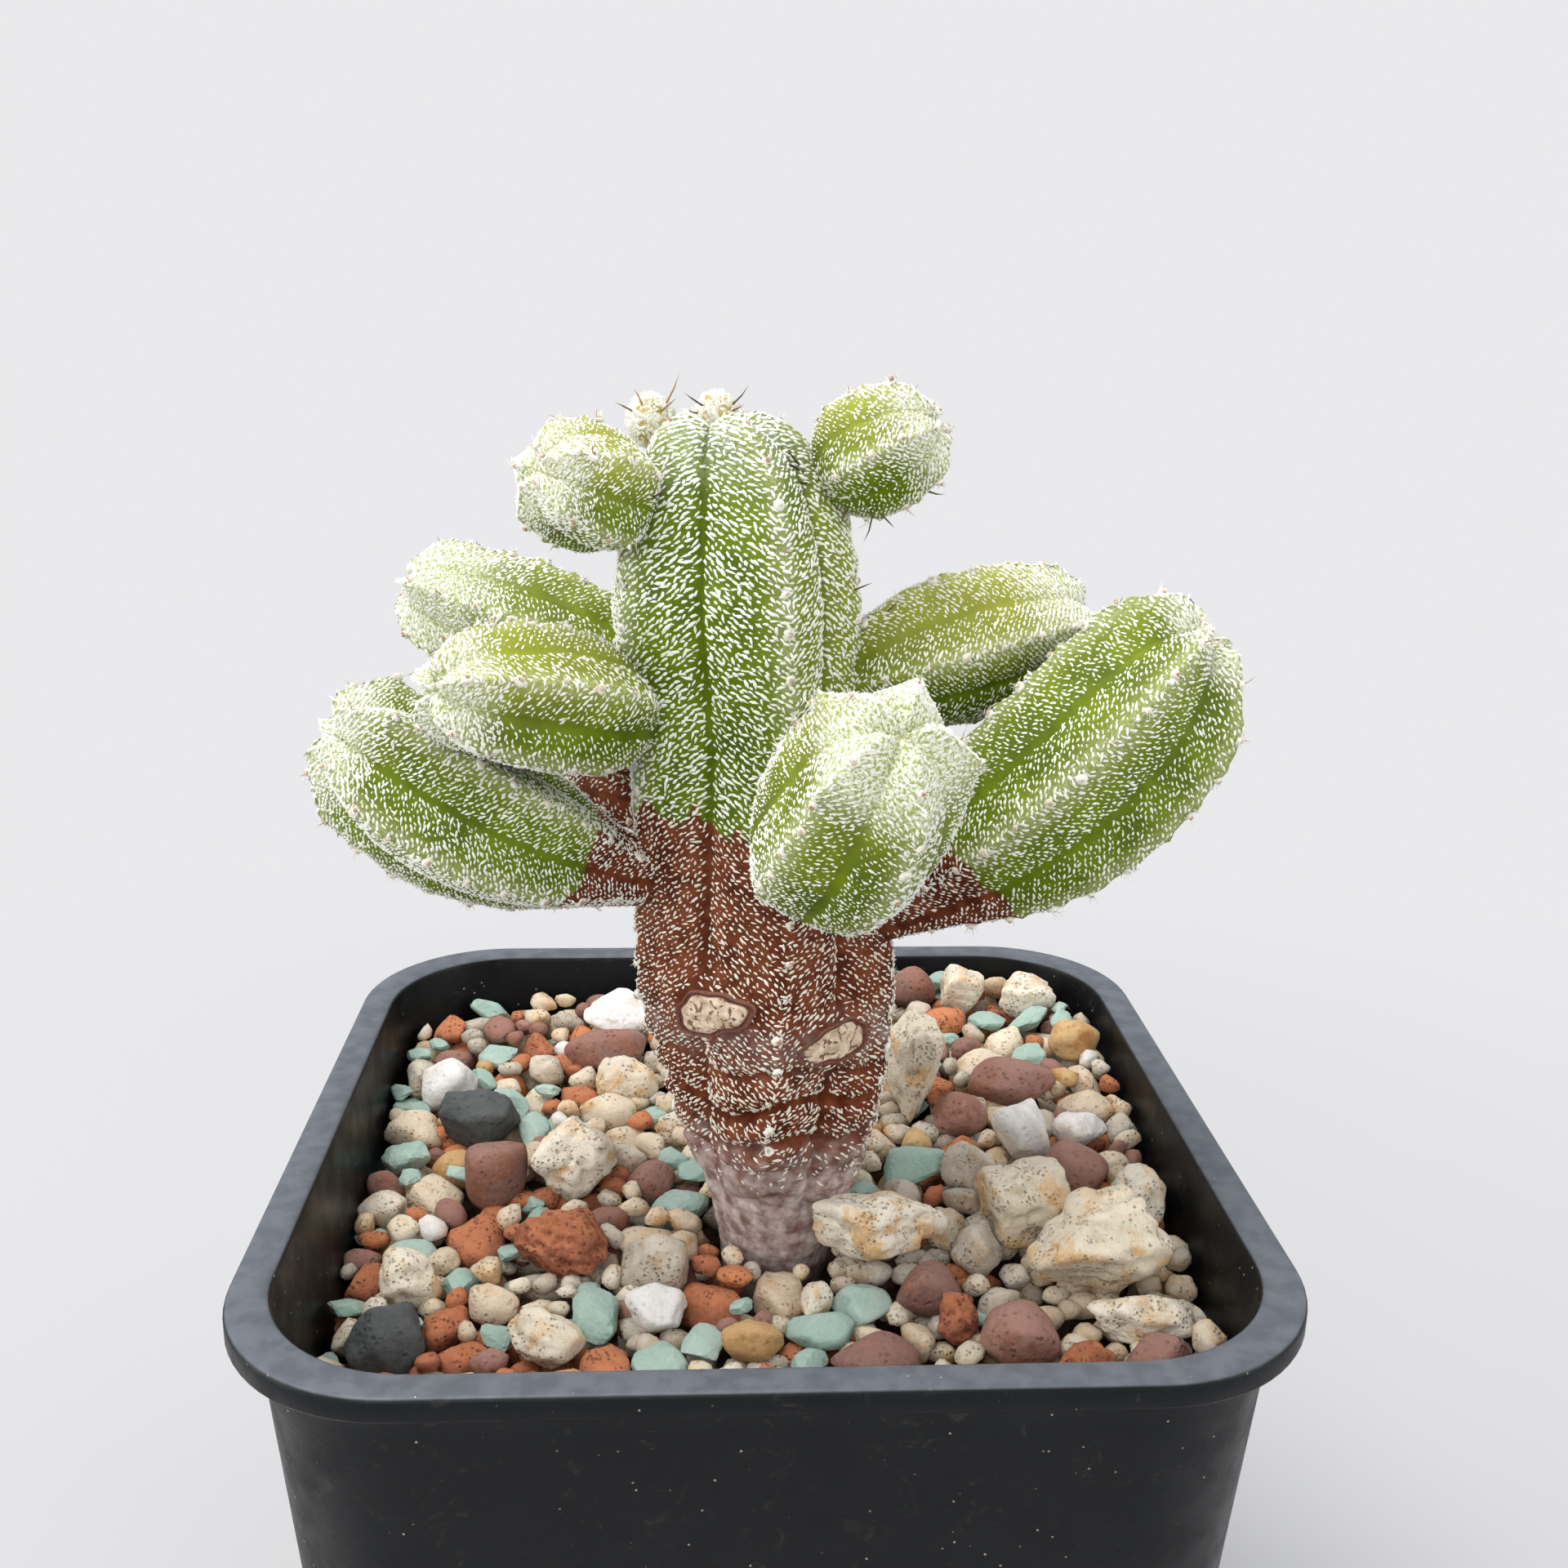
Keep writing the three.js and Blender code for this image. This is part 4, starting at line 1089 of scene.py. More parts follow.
# Between rows, between flecks of a row and from the groove to the first fleck.
STEM_SOWING = (0.6, 0.51, 0.42)
USUAL_SOWING = (0.53, 0.5, 0.58)
SOWING = {
    "upper_left": (0.46, 0.42, 0.3),
    "upper_right": (0.44, 0.42, 0.3),
    "lower_left": (0.46, 0.43, 0.42),
    "middle_right": (0.48, 0.45, 0.5),
}
fleck_rng = np.random.default_rng(37)
foot_run = float(np.interp(LOWEST_FLECKS, stem_rows[:, 0, 2][:STEM_RINGS], stem_body.along[:STEM_RINGS]))
crown_run = float(stem_body.along[-1])
stem_run = foot_run, crown_run, crown_run - 5
add_flecks("flecks_stem", stem_body, fleck_rng, stem_run, STEM_SOWING, STEM_FLECKS, stem_tint, stem_bare)
for name, body in offset_bodies.items():
    end = float(body.along[-1])
    small = YOUNGEST_SHARE if name in YOUNGEST else 1.0
    sizes = OFFSET_FLECKS[0] * small, OFFSET_FLECKS[1] * small
    run = 0.6, end, end * WOOL_FROM[name]
    add_flecks(f"flecks_{name}", body, fleck_rng, run, SOWING.get(name, USUAL_SOWING), sizes, offset_tint)

# %% [markdown]
# ## Scars, areoles, spines and buds
#
# Where an offset was pulled off, the stem healed over with a plate of tan cork inside a dark rim. Along
# each crest sit the areoles, small cushions of wool that carry the spines. The youngest, round the crown
# and at the feet of the upper offsets, still have dark spines, and two woolly buds are pushing out of
# the crown.


# %% Scars on the stem
def scar_cork():
    f = Finish("scar_cork", 0.85)
    edge = f.trait("edge")
    cracks = f.step(f.math("ADD", f.cells(1.0, "DISTANCE_TO_EDGE"), f.noise(0.6, 5.0)), 0.43, 0.56)
    cork = f.mix(f.step(f.noise(0.9, 5.0), 0.3, 0.7), paint(176, 150, 122), paint(222, 203, 180))
    cork = f.mix(cracks, paint(122, 84, 60), cork)
    rim = f.mix(f.noise(0.8), paint(64, 28, 20), paint(112, 60, 42))
    colour = f.mix(f.step(edge, 0.76, 0.82), cork, rim)
    colour = f.mix(f.step(edge, 0.88, 0.96), colour, paint(122, 80, 62))
    return f.wear(colour, None, f.bump(f.math("ADD", cracks, f.noise(0.5, 5.0)), 0.15, 0.9))


SCAR_RINGS = 20
SCAR_SIDES = 48
SCAR_TILT = 0.3
# How high over the stem the plate and its rim stand, and how deep the edge goes.
SCAR_BED = 0.16
SCAR_PLATE = 0.22
SCAR_RIM = 0.3
SCAR_EDGE = 1.1


def add_scar(number, scar, material, rng):
    z, angle, half_wide, half_high = scar
    turns = np.linspace(0, 2 * math.pi, SCAR_SIDES, endpoint=False)
    share, turn = np.meshgrid(np.linspace(0.04, 1.12, SCAR_RINGS), turns, indexing="ij")
    wobble = 1 + 0.08 * np.sin(2 * turn + number) + 0.1 * np.sin(3 * turn + 2 * number)
    wobble = wobble + 0.05 * np.sin(7 * turn)
    height = (z + half_high * share * wobble * (np.sin(turn) + SCAR_TILT * np.cos(turn))).ravel()
    radius = stem_radius(height) * SCAR_RADIUS
    around = np.radians(angle) + (half_wide * share * wobble * np.cos(turn)).ravel() / radius
    axis = np.interp(height, [row[0] for row in STEM_LINE], [row[1] for row in STEM_LINE])
    outward = np.stack([np.sin(around), -np.cos(around), 0 * around], 1)
    flat = share.ravel()
    relief = 0.1 * ripple(outward * 12 + height[:, None], 1.6, rng)
    rise = SCAR_BED + SCAR_PLATE * (1 - smooth_step(flat, 0.74, 0.82)) * (1 + relief) + 0.4 * relief
    rise = rise + SCAR_RIM * np.exp(-(((flat - 0.95) / 0.06) ** 2))
    rise = rise - SCAR_EDGE * smooth_step(flat, 0.95, 1.08)
    centre = np.stack([axis, np.full(len(axis), STEM_Y), height], 1)
    points = centre + outward * (radius + rise)[:, None]
    middle = points[:SCAR_SIDES].mean(0)
    below = points[-SCAR_SIDES:].mean(0) - outward.mean(0) * 1.2
    points = np.concatenate([points, [middle, below]])
    faces, traits = skin_faces(SCAR_RINGS, SCAR_SIDES), {"edge": np.append(flat, [0, 1])}
    build_piece(f"scar_{number}", points, faces, material, traits=traits)


scar_rng = np.random.default_rng(5)
scar_finish = scar_cork()
for number, scar in enumerate(SCARS, 1):
    add_scar(number, scar, scar_finish, scar_rng)
print("scars:", len(SCARS))


# %% Small round bodies
def ball(level):
    """Directions and faces of a sphere of triangles."""
    shape = bmesh.new()
    bmesh.ops.create_icosphere(shape, subdivisions=level, radius=1)
    shape.verts.ensure_lookup_table()
    directions = np.array([v.co[:] for v in shape.verts])
    faces = np.array([[v.index for v in face.verts] for face in shape.faces])
    shape.free()
    return unit(directions), faces


BALLS = {level: ball(level) for level in (2, 3, 4, 5)}
print("faces of the balls:", {level: len(faces) for level, (_, faces) in BALLS.items()})


class Heap:
    """Many small shapes gathered into one piece."""

    def __init__(self):
        self.points, self.faces, self.tints, self.count = [], [], [], 0

    def add(self, points, faces, tint):
        self.points.append(points)
        self.faces.append(faces + self.count)
        self.tints.append(np.full(len(points), float(tint)))
        self.count += len(points)

    def build(self, name, material, slot, smooth=True):
        points, faces = np.concatenate(self.points), np.concatenate(self.faces)
        traits = {"tint": np.concatenate(self.tints)}
        return build_piece(name, points, [faces], material, smooth, traits)


# %% Areoles and their hairs
HAIR_SIDES = 3
HAIR_THICK = 0.05
HAIR_LONG = (0.45, 1.0)
HAIR_SPLAY = 0.7
SPINE_THICK = 0.11
# Two rings of three points, 0 to 2 and 3 to 5, and the tip, 6.
HAIR_FACES = np.array(
    [(0, 1, 4), (1, 2, 5), (2, 0, 3), (0, 4, 3), (1, 5, 4), (2, 3, 5), (3, 4, 6), (4, 5, 6), (5, 3, 6)]
)


def hair(foot, direction, length, thick, bend, rng):
    """A tapering hair or spine with one bend: two rings of sides and a point."""
    direction = unit(direction)
    aside = unit(np.cross(direction, rng.normal(size=3)))
    across = np.cross(direction, aside)
    turn = np.linspace(0, 2 * math.pi, HAIR_SIDES, endpoint=False)[:, None]
    ring = np.cos(turn) * aside + np.sin(turn) * across
    middle = foot + direction * length * 0.55 + aside * bend * length * 0.12
    tip = foot + direction * length + aside * bend * length * 0.4
    points = np.concatenate([foot + ring * thick, middle + ring * thick * 0.7, [tip]])
    return points, HAIR_FACES


def cushion(place, normal, radius, rng):
    """A lumpy low cushion of wool."""
    directions, faces = BALLS[2]
    size = radius * (1 + 0.3 * ripple(directions * 3 + rng.normal(size=3) * 9, 3.2, rng))
    flat = directions * size[:, None]
    flat = flat - 0.45 * (flat @ normal)[:, None] * normal
    return place + flat, faces


def on_crest(body, rib, number):
    """Where an areole stands: its ring and column, its place, normal and directions round and up."""
    ring = np.interp([number * AREOLE_STEP], body.along, np.arange(body.rings))
    column = np.array([2.0 * body.per_face * rib])
    return ring, column, *(row[0] for row in body.at(ring, column))


def add_areoles(name, body, rng, start, end, radius, tint, hairs, skip=None):
    """Areoles along every crest: a cushion of wool, a darker one on it and some hairs."""
    heap = Heap()
    first = math.ceil(start / AREOLE_STEP)
    for rib in range(5):
        for number in range(first, int(end / AREOLE_STEP) + 1):
            ring, column, place, normal, around, upward = on_crest(body, rib, number)
            if skip is not None and skip(ring, column)[0]:
                continue
            place = place + rng.normal(0, 0.12, 3) - 0.05 * normal
            wide = cushion(place, normal, radius * rng.uniform(0.7, 1.15), rng)
            heap.add(*wide, tint + rng.uniform(0, 0.9) ** 2)
            small = cushion(place + 0.6 * radius * normal, normal, radius * rng.uniform(0.3, 0.5), rng)
            heap.add(*small, rng.uniform(1.6, 3))
            for _ in range(hairs):
                out = normal * rng.uniform(0.5, 1.2) + around * rng.normal(0, HAIR_SPLAY)
                out = out + upward * rng.normal(0, HAIR_SPLAY)
                foot = place + 0.4 * radius * rng.normal(size=3)
                strand = hair(foot, out, rng.uniform(*HAIR_LONG), HAIR_THICK, rng.normal(), rng)
                heap.add(*strand, rng.uniform(0, 0.8))
    heap.build(name, wool_finish, "cactus_skin")


areole_rng = np.random.default_rng(53)
add_areoles("areoles_stem", stem_body, areole_rng, foot_run + 2, crown_run - 1.5, 0.5, 0.2, 8, stem_bare)
for name, body in offset_bodies.items():
    add_areoles(f"areoles_{name}", body, areole_rng, 2.5, float(body.along[-1]) - 1, 0.46, 0.4, 6)
print("areole pieces:", 1 + len(offset_bodies))


# %% Woolly buds on the crown
# The middle, the radius and how many tufts of wool.
BUDS = (((-10.3, -2.6, 151.8), 2.0, 760), ((-4.6, -5.4, 152.6), 1.7, 380))
BUD_STRETCH = (1, 1, 1.1)


def bud_skin():
    f = Finish("bud_skin", 0.7)
    colour = f.mix(f.step(f.noise(0.9, 4.0), 0.35, 0.65), paint(150, 140, 62), paint(196, 172, 118))
    return f.wear(colour, None, f.bump(f.noise(0.4), 0.08))


bud_finish = bud_skin()
bud_rng = np.random.default_rng(71)
bud_points = []
for number, (centre, radius, tufts) in enumerate(BUDS, 1):
    directions, faces = BALLS[4]
    lobes = 1 + 0.09 * ripple(directions * 2.2, 2.4, bud_rng)
    points = np.array(centre) + directions * (radius * lobes)[:, None] * BUD_STRETCH
    bud_points.append(points)
    build_piece(f"bud_{number}", points, [faces], bud_finish)
    normals = unit(bud_rng.normal(size=(tufts, 3)))
    places = np.array(centre) + normals * radius * BUD_STRETCH
    directions = unit(np.cross(normals, bud_rng.normal(size=(tufts, 3))))
    size = bud_rng.uniform(0.2, 0.45, tufts)
    mounds, mound_faces = ragged_mounds(places, normals, directions, size, size * 0.6, size * 0.8, bud_rng)
    traits = {"tint": np.repeat(bud_rng.uniform(0.0, 0.4 + 0.5 * number, tufts), FLECK_SIDES + 1)}
    build_piece(f"bud_wool_{number}", mounds, [mound_faces], wool_finish, traits=traits)
print("buds:", len(BUDS))


# %% Spines
def spine_horn():
    f = Finish("spine_horn", 0.45)
    colour = f.mix(f.trait("tint"), paint(44, 32, 30), paint(168, 122, 78))
    return f.wear(colour)


# Foot, direction, length and how pale it is: round the buds, then at the feet of the upper offsets.
SPINES = (
    ((-11.6, -3.6, 152.6), (-0.9, -0.3, 0.5), 1.9, 0.4),
    ((-11.0, -4.2, 153.2), (-0.3, -0.8, 0.9), 1.7, 0.8),
    ((-9.0, -3.4, 153.2), (0.6, -0.2, 1.0), 3.2, 0.9),
    ((-9.2, -4.2, 152.6), (0.8, -0.6, 0.7), 2.0, 0.6),
    ((-5.9, -6.4, 153.2), (-0.9, -0.2, 0.6), 2.1, 0.1),
    ((-6.1, -6.2, 152.5), (-1.0, -0.3, 0.2), 1.6, 0.2),
    ((-3.3, -6.3, 153.3), (0.9, -0.2, 0.7), 2.2, 0.1),
    ((-3.4, -6.6, 152.8), (0.9, -0.5, 0.4), 1.6, 0.3),
    ((2.6, -9.8, 149.2), (-0.9, -0.4, 0.9), 2.2, 0.0),
    ((3.0, -10.2, 148.4), (-1.0, -0.3, 0.6), 2.4, 0.0),
    ((3.2, -10.4, 147.6), (-1.0, -0.5, 0.2), 1.6, 0.1),
    ((6.4, -10.0, 144.9), (-0.5, -0.4, -0.8), 2.0, 0.2),
    ((8.6, -9.8, 144.6), (-0.1, -0.4, -1.0), 2.4, 0.1),
    ((9.4, -9.8, 144.9), (0.6, -0.4, -0.6), 1.7, 0.2),
    ((13.4, -9.8, 146.6), (0.9, -0.3, -0.4), 1.5, 0.2),
    ((-9.2, -14.6, 146.2), (0.9, -0.5, 0.6), 2.0, 0.2),
    ((-12.0, -14.6, 142.8), (-0.6, -0.5, -0.7), 1.4, 0.3),
    ((-17.6, -16.4, 143.6), (-0.5, -0.3, -0.9), 1.4, 0.3),
    ((9.6, -9.0, 138.4), (1.0, -0.3, 0.5), 1.8, 0.2),
    ((10.2, -7.4, 136.2), (0.7, -0.3, 0.9), 1.8, 0.2),
)
# The length of a tip whose areoles still carry thin spines.
YOUNG_TIP = 6.5
spine_rng = np.random.default_rng(97)
spines = Heap()
offset_points = [body.points for body in offset_bodies.values()]
skin_points = np.concatenate([stem_body.points, *bud_points, *offset_points])
for place, direction, length, pale in SPINES:
    foot = skin_points[np.linalg.norm(skin_points - place, axis=1).argmin()]
    spine = hair(foot, np.array(direction), length, SPINE_THICK, spine_rng.normal() * 0.4, spine_rng)
    spines.add(*spine, pale)
for body in [stem_body, *offset_bodies.values()]:
    reach = float(body.along[-1])
    for rib in range(5):
        for number in range(int((reach - YOUNG_TIP) / AREOLE_STEP), int(reach / AREOLE_STEP)):
            _, _, place, normal, around, upward = on_crest(body, rib, number)
            out = normal + 0.5 * around * spine_rng.normal() + 0.4 * upward
            length = spine_rng.uniform(0.7, 1.4)
            spine = hair(place, out, length, HAIR_THICK, spine_rng.normal() * 0.5, spine_rng)
            spines.add(*spine, spine_rng.uniform(0.2, 1))
spines.build("spines", spine_horn(), "cactus_skin")
print("spines built")

# %% [markdown]
# ## Stones
#
# A broken stone is close to a solid cut by a dozen flat faces, with its edges worn. That has a short
# formula: each direction's radius is a soft minimum over some random planes. A high power keeps the
# edges sharp, for chips, and a low one rounds them, for pebbles. The large stones are fitted to the
# boxes of their CAD nodes, so each lies where the frame says.


# %% Stone shapes
GOLDEN_TURN = math.pi * (3 - math.sqrt(5))
# How far from the middle the cutting planes lie, and how far out a corner may reach.
PLANES_AT = (0.72, 1.05)
FARTHEST = 1.25
PIT_SIZE = (0.06, 0.18)
PIT_DEPTH = 2.0


def spread_directions(count, rng):
    """Directions spread evenly over a sphere, then shaken and turned at random."""
    i = np.arange(count)
    z = 1 - (2 * i + 1) / count
    flat = np.sqrt(1 - z * z)
    even = np.stack([flat * np.cos(GOLDEN_TURN * i), flat * np.sin(GOLDEN_TURN * i), z], 1)
    turned, _ = np.linalg.qr(rng.normal(size=(3, 3)))
    return unit(even @ turned + rng.normal(0, 0.9 / math.sqrt(count), (count, 3)))


def stone_shape(level, rng, facets, sharpness, roughness, pits=0):
    """A stone that just fills a box from -0.5 to 0.5, and its faces."""
    directions, faces = BALLS[level]
    pressed = np.maximum(directions @ spread_directions(facets, rng).T, 0) / rng.uniform(*PLANES_AT, facets)
    points = directions * np.minimum((pressed**sharpness).sum(1) ** (-1 / sharpness), FARTHEST)[:, None]
    relief = ripple(points, 1.1, rng) + 0.5 * ripple(points, 0.45, rng) + 0.3 * ripple(points, 0.2, rng)
    for hole in unit(rng.normal(size=(pits, 3))):
        size = rng.uniform(*PIT_SIZE)
        relief = relief - PIT_DEPTH * np.exp(-((np.linalg.norm(directions - hole, axis=1) / size) ** 2))
    points = points * (1 + roughness * relief)[:, None]
    low, high = points.min(0), points.max(0)
    return (points - (low + high) / 2) / (high - low), faces


print("golden turn:", round(math.degrees(GOLDEN_TURN), 1), "degrees")


# %% Stone finishes
# How dark grime is, and the painted shade in pores, beside a stone's darkest colour.
GRIME = 0.6
PORE_SHADE = 0.55


def stone_finish(name, dark, light, vein, pores, pore_mm, roughness):
    """Colour from stone to stone by tint, clouded by noise, with veins or stains, the rock's pores painted
    dark as shade in their hollows, and faces that look up painted lighter as a highlight.
    """
    f = Finish(name, roughness)
    base = f.mix(f.trait("tint"), dark, light)
    clouded = f.mix(f.step(f.noise(3.8, 4.0, 0.6), 0.48, 0.6, 0.0, 0.85), base, vein)
    speckled = f.mix(f.step(f.noise(0.5, 4.0, 0.7), 0.42, 0.7, 0.0, 0.45), clouded, light)
    grime, pore_shade = tuple(GRIME * c for c in dark), tuple(PORE_SHADE * c for c in dark)
    grimy = f.mix(f.step(f.noise(0.8, 6.0, 0.75), 0.5, 0.7, 0.0, 0.4), speckled, grime)
    # Painted highlight: faces that look up are mixed toward the light colour.
    lit_tops_painted = f.mix(f.step(f.upward(), 0.3, 1.0, 0.0, 0.42), grimy, light)
    holes = f.math("MULTIPLY", f.step(f.cells(pore_mm), 0.42, 0.12), f.step(f.noise(1.8), 0.42, 0.6))
    # Painted shade: the pores' hollows are coloured dark.
    pore_shaded = f.mix(f.math("MULTIPLY", holes, pores), lit_tops_painted, pore_shade)
    grain = f.math("SUBTRACT", f.noise(0.7, 8.0, 0.75), f.math("MULTIPLY", holes, 1.6 * pores))
    return f.wear(pore_shaded, None, f.bump(grain, 0.4, 1.0))


# Darkest and lightest colour, veins, how strongly the pores show as painted shade and as relief, their size
# in mm and roughness.
STONE_LOOKS = {
    "pumice": (paint(204, 184, 152), paint(250, 240, 220), paint(226, 176, 108), 0.6, 0.42, 0.95),
    "white": (paint(226, 220, 214), paint(255, 253, 250), paint(232, 216, 196), 0.25, 0.9, 0.8),
    "maroon": (paint(104, 70, 60), paint(176, 132, 118), paint(146, 92, 68), 0.35, 0.7, 0.75),
    "brick": (paint(128, 68, 48), paint(220, 140, 92), paint(178, 108, 82), 0.6, 0.5, 0.9),
    "teal": (paint(130, 168, 154), paint(192, 214, 202), paint(150, 186, 172), 0.1, 0.9, 0.8),
    "ochre": (paint(176, 120, 58), paint(226, 190, 136), paint(190, 128, 62), 0.3, 0.9, 0.8),
    "grey": (paint(158, 144, 126), paint(230, 220, 202), paint(184, 158, 126), 0.5, 0.45, 0.9),
    "charcoal": (paint(30, 33, 34), paint(92, 95, 95), paint(60, 63, 64), 0.3, 0.8, 0.7),
    "tan": (paint(190, 160, 124), paint(246, 230, 204), paint(212, 164, 106), 0.4, 0.5, 0.9),
}
stone_finishes = {kind: stone_finish(f"{kind}_stone", *look) for kind, look in STONE_LOOKS.items()}
print("stone finishes:", ", ".join(stone_finishes))


# %% Large stones in their CAD boxes
# How many flat faces, how sharp their edges are and how rough the stone is.
STONE_CUTS = {
    "pumice": (13, 12, 0.06),
    "white": (11, 16, 0.05),
    "maroon": (17, 7, 0.02),
    "brick": (12, 14, 0.07),
    "teal": (9, 26, 0.02),
    "ochre": (14, 10, 0.03),
    "grey": (12, 12, 0.05),
    "charcoal": (12, 18, 0.06),
    "tan": (12, 12, 0.045),
}
# One large pumice block at the right front keeps sharp broken corners.
BROKEN_BLOCK = "pumice_stone_3"
BROKEN_CUT = (9, 22, 0.06)
PITS = {"pumice": 60, "brick": 110, "white": 16}
BIGGEST_FROM = 8.5
BRICK_TINTS = (0, 0.25)
LARGE_TINTS = (0.2, 1)
large_nodes = sorted(node for node in frame["nodes"] if "_stone_" in node)
large_rng = np.random.default_rng(101)
large_boxes = {}
for node in large_nodes:
    kind = node.split("_")[0]
    low, high = (np.array(corner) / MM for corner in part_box(node))
    level = 5 if (high - low).max() > BIGGEST_FROM else 4
    cut = BROKEN_CUT if node == BROKEN_BLOCK else STONE_CUTS[kind]
    shape, faces = stone_shape(level, large_rng, *cut, PITS.get(kind, 0))
    points = (low + high) / 2 + shape * (high - low)
    tint = np.full(len(points), large_rng.uniform(*(BRICK_TINTS if kind == "brick" else LARGE_TINTS)))
    finish, slot = stone_finishes[kind], f"{kind}_stone"
    piece = build_piece(f"{node}_rock", points, [faces], finish, traits={"tint": tint})
    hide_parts(node)
    large_boxes[node] = (low, high)
print("large stones:", len(large_nodes))

# %% [markdown]
# ## The small stones
#
# The rest of the dressing is poured. A true pour would need a slow simulation, and it would not keep the
# level of the bed. Here each stone is tried at many places over a map of heights and is laid where it
# sinks lowest, just touching what is below it. Valleys fill first, so the bed packs close and level, as
# shaken gravel does. The map can't see below the large stones, so some small ones are tucked under each
# of them at the end.

# %% A map of heights
GRAVEL_DROP = 7.7
GRAVEL_LEVEL = 76
GRAVEL_SLOPE_X = 0.05
GRAVEL_SLOPE_Y = 0.11
MAP_STEP = 0.4
MAP_HALF = 42.0
POUR_DEPTH = 6.5
WALL_GAP = 0.15
# A stone rests on the cells where it is thicker than this share.
TOUCHING = 0.15
BLOCKED = 1e3


def gravel_top(x, y):
    return POT_HEIGHT - GRAVEL_DROP + GRAVEL_SLOPE_X * x + GRAVEL_SLOPE_Y * y


class HeightMap:
    """How high the bed stands over a square of cells, and where nothing may lie."""

    def __init__(self):
        line = np.arange(-MAP_HALF, MAP_HALF + MAP_STEP / 2, MAP_STEP)
        self.x, self.y = np.meshgrid(line, line, indexing="ij")
        self.height = gravel_top(self.x, self.y) - POUR_DEPTH
        half, corner = inside_half(GRAVEL_LEVEL) - WALL_GAP, inside_corner(GRAVEL_LEVEL)
        beyond_x = np.maximum(np.abs(self.x) - half + corner, 0)
        beyond_y = np.maximum(np.abs(self.y) - half + corner, 0)
        self.height[np.hypot(beyond_x, beyond_y) > corner] = BLOCKED

    def cover(self, centre, radii, turn):
        """The cells under an ellipse, and how thick a stone of that plan is there, from 0 to 1."""
        reach = max(radii) + MAP_STEP
        a, b = (int((c - reach + MAP_HALF) / MAP_STEP) for c in centre)
        size = int(2 * reach / MAP_STEP) + 2
        window = slice(max(a, 0), a + size), slice(max(b, 0), b + size)
        dx, dy = self.x[window] - centre[0], self.y[window] - centre[1]
        u = (dx * math.cos(turn) + dy * math.sin(turn)) / radii[0]
        v = (-dx * math.sin(turn) + dy * math.cos(turn)) / radii[1]
        return window, np.sqrt(np.clip(1 - u * u - v * v, 0, None))

    def rest(self, centre, radii, turn):
        """How high a stone's middle comes to rest, with radii along, across and up."""
        window, thick = self.cover(centre, radii, turn)
        under = thick > TOUCHING
        return (self.height[window] + radii[2] * thick)[under].max() if under.any() else BLOCKED

    def lay(self, centre, radii, turn, z):
        window, thick = self.cover(centre, radii, turn)
        under = thick > 0
        patch = self.height[window]
        patch[under] = np.maximum(patch[under], (z + radii[2] * thick)[under])


# An oval of this share stands for a large stone, and a circle for the stem's neck.
LARGE_FIT = 0.96
NECK_X = 1.7
NECK_ROOM = 6.6
bed = HeightMap()
for low, high in large_boxes.values():
    middle, radii = (low + high) / 2, (high - low) / 2
    bed.lay(middle[:2], radii * LARGE_FIT, 0.0, middle[2])
bed.height[np.hypot(bed.x - NECK_X, bed.y - STEM_Y) < NECK_ROOM] = BLOCKED
print("cells of the map:", bed.height.size, "blocked:", int((bed.height == BLOCKED).sum()))


# %% What is poured
# Kind, share of the pour, how thick it is for its width, and how it is spread: over 1 leans to the left.
POUR = (
    ("tan", 0.25, 0.75, 0.85),
    ("pumice", 0.2, 0.8, 0.75),
    ("grey", 0.12, 0.75, 1.0),
    ("maroon", 0.14, 0.8, 1.2),
    ("brick", 0.12, 0.7, 1.3),
    ("teal", 0.1, 0.5, 1.3),
    ("white", 0.045, 0.75, 0.9),
    ("ochre", 0.05, 0.8, 1.1),
    ("charcoal", 0.008, 0.7, 1.0),
)
# How many stones, their least and greatest length, how far one may stand out, and places tried for each.
POURS = ((230, 4.8, 7.2, 1.2, 60), (560, 3.2, 5.8, 1.4, 80), (620, 1.9, 3.5, 1.0, 150))
POUR_REACH = 41
WIDE_FOR_LONG = (0.58, 0.92)
# Longer stones than this get the finer ball. A stone is a little fuller than the oval that stood for it.
FINE_FROM = 3.3
FULLER = 2.06
TILT = 0.18
SMALL_TINTS = (0.1, 1)
# One small stone for so many square millimetres under a large one, with its sizes, kinds and cut.
UNDER_AREA = 4.5
UNDER_SIZE = (2.2, 3.6)
UNDER_KINDS = ("tan", "grey", "pumice", "brick")
UNDER_CUT = (12, 12, 0.04)
UNDER_FLAT = (1, 0.8, 0.75)
UNDER_SINK = 0.35
# These kinds break to flat chips and keep the edges of their faces.
CHIPS = ("teal", "charcoal")
print("stones to try:", sum(count for count, *_ in POURS))


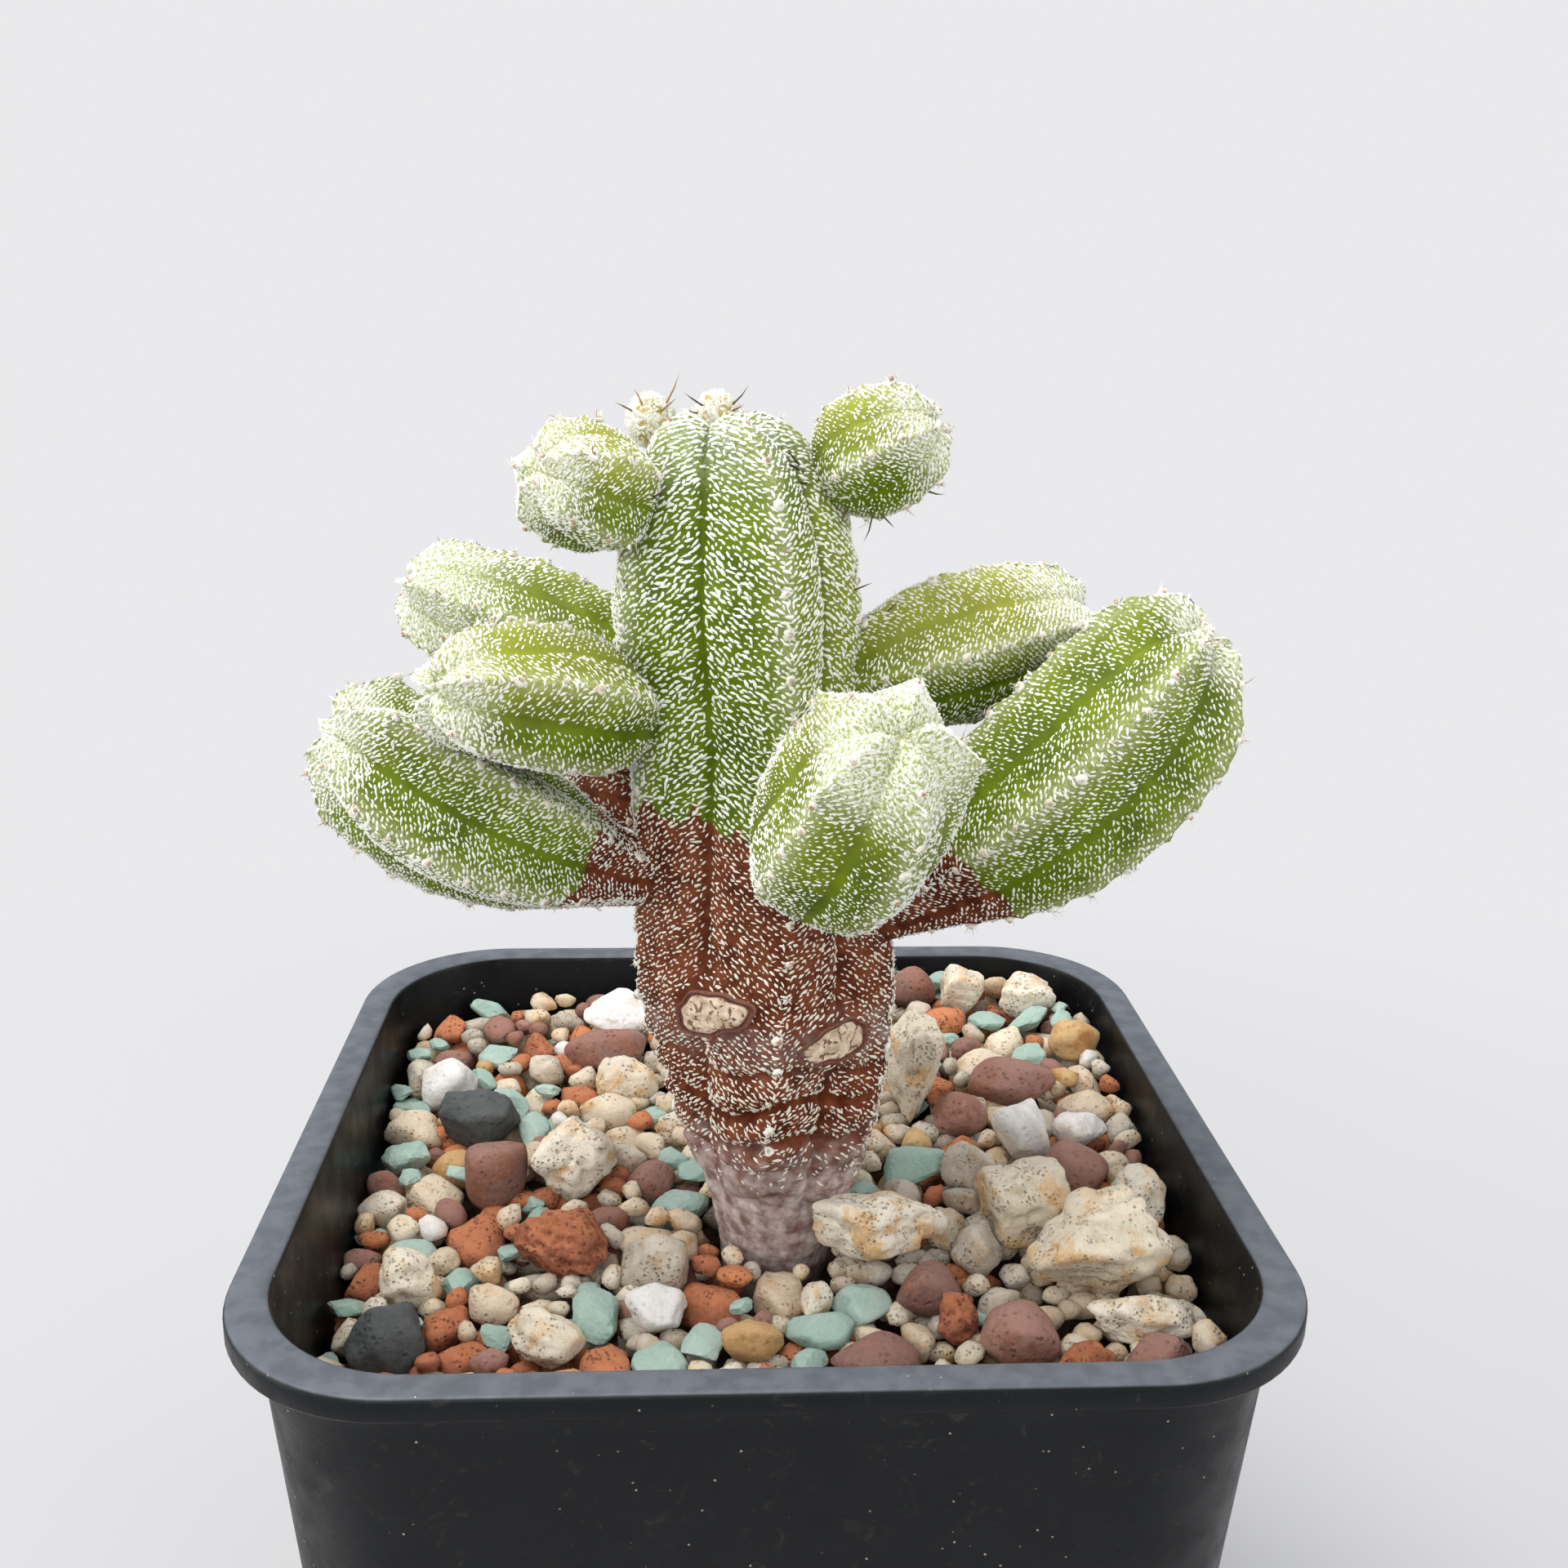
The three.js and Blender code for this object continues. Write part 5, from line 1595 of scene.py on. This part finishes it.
# %% Pour the small stones
def lay_under(heap, low, high, rng):
    """Small stones under a large one, where the pour can't reach."""
    middle, radii = (low + high) / 2, (high - low) / 2
    for _ in range(int(math.pi * radii[0] * radii[1] / UNDER_AREA)):
        out, turn = math.sqrt(rng.random()), rng.uniform(0, 2 * math.pi)
        x, y = middle[:2] + radii[:2] * out * np.array([math.cos(turn), math.sin(turn)])
        size = rng.uniform(*UNDER_SIZE)
        z = min(middle[2] - radii[2] * math.sqrt(1 - out * out), gravel_top(x, y)) - UNDER_SINK * size
        shape, faces = stone_shape(2, rng, *UNDER_CUT)
        heap.add(shape * size * UNDER_FLAT + (x, y, z), faces, rng.uniform(*SMALL_TINTS))


def pour_stones(rng):
    """All small stones, a heap for each kind, and how many were laid on the map."""
    heaps = {kind: Heap() for kind, *_ in POUR}
    shares = np.array([share for _, share, *_ in POUR])
    laid = 0
    for count, least, most, proud, tries in POURS:
        for _ in range(count):
            kind, _, thickness, spread = POUR[rng.choice(len(POUR), p=shares / shares.sum())]
            length = rng.uniform(least, most)
            width, thick = length * rng.uniform(*WIDE_FOR_LONG), length * thickness * rng.uniform(0.8, 1.1)
            radii = np.array([length, width, thick]) / 2
            best = None
            for share, y, turn in rng.uniform((0, -POUR_REACH, 0), (1, POUR_REACH, math.pi), (tries, 3)):
                x = 2 * POUR_REACH * share**spread - POUR_REACH
                z = bed.rest((x, y), radii, turn)
                over = z + radii[2] - gravel_top(x, y)
                if over < proud and (best is None or over < best[0]):
                    best = (over, x, y, turn, z)
            if best is None:
                continue
            _, x, y, turn, z = best
            bed.lay((x, y), radii, turn, z)
            shape, faces = stone_shape(3 if length > FINE_FROM else 2, rng, *STONE_CUTS[kind])
            rolled = Matrix.Rotation(rng.normal(0, TILT), 3, "X")
            tilt = Matrix.Rotation(turn, 3, "Z") @ rolled @ Matrix.Rotation(rng.normal(0, TILT), 3, "Y")
            points = (shape * FULLER * radii) @ np.array(tilt).T + (x, y, z)
            heaps[kind].add(points, faces, rng.uniform(*SMALL_TINTS))
            laid += 1
    for low, high in large_boxes.values():
        lay_under(heaps[rng.choice(UNDER_KINDS)], low, high, rng)
    return heaps, laid


small_heaps, laid = pour_stones(np.random.default_rng(4711))
for kind, heap in small_heaps.items():
    piece = heap.build(f"small_{kind}_stones", stone_finishes[kind], "gravel", kind not in CHIPS)
    if kind == "tan":
        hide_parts("gravel_bed")
print("small stones laid:", laid)

# %% Count the triangles
counts = {}
for part in bpy.data.objects:
    if part.type == "MESH":
        part.data.calc_loop_triangles()
        counts[part.name] = len(part.data.loop_triangles)
print("triangles:", sum(counts.values()), "most:", max(counts.values()))
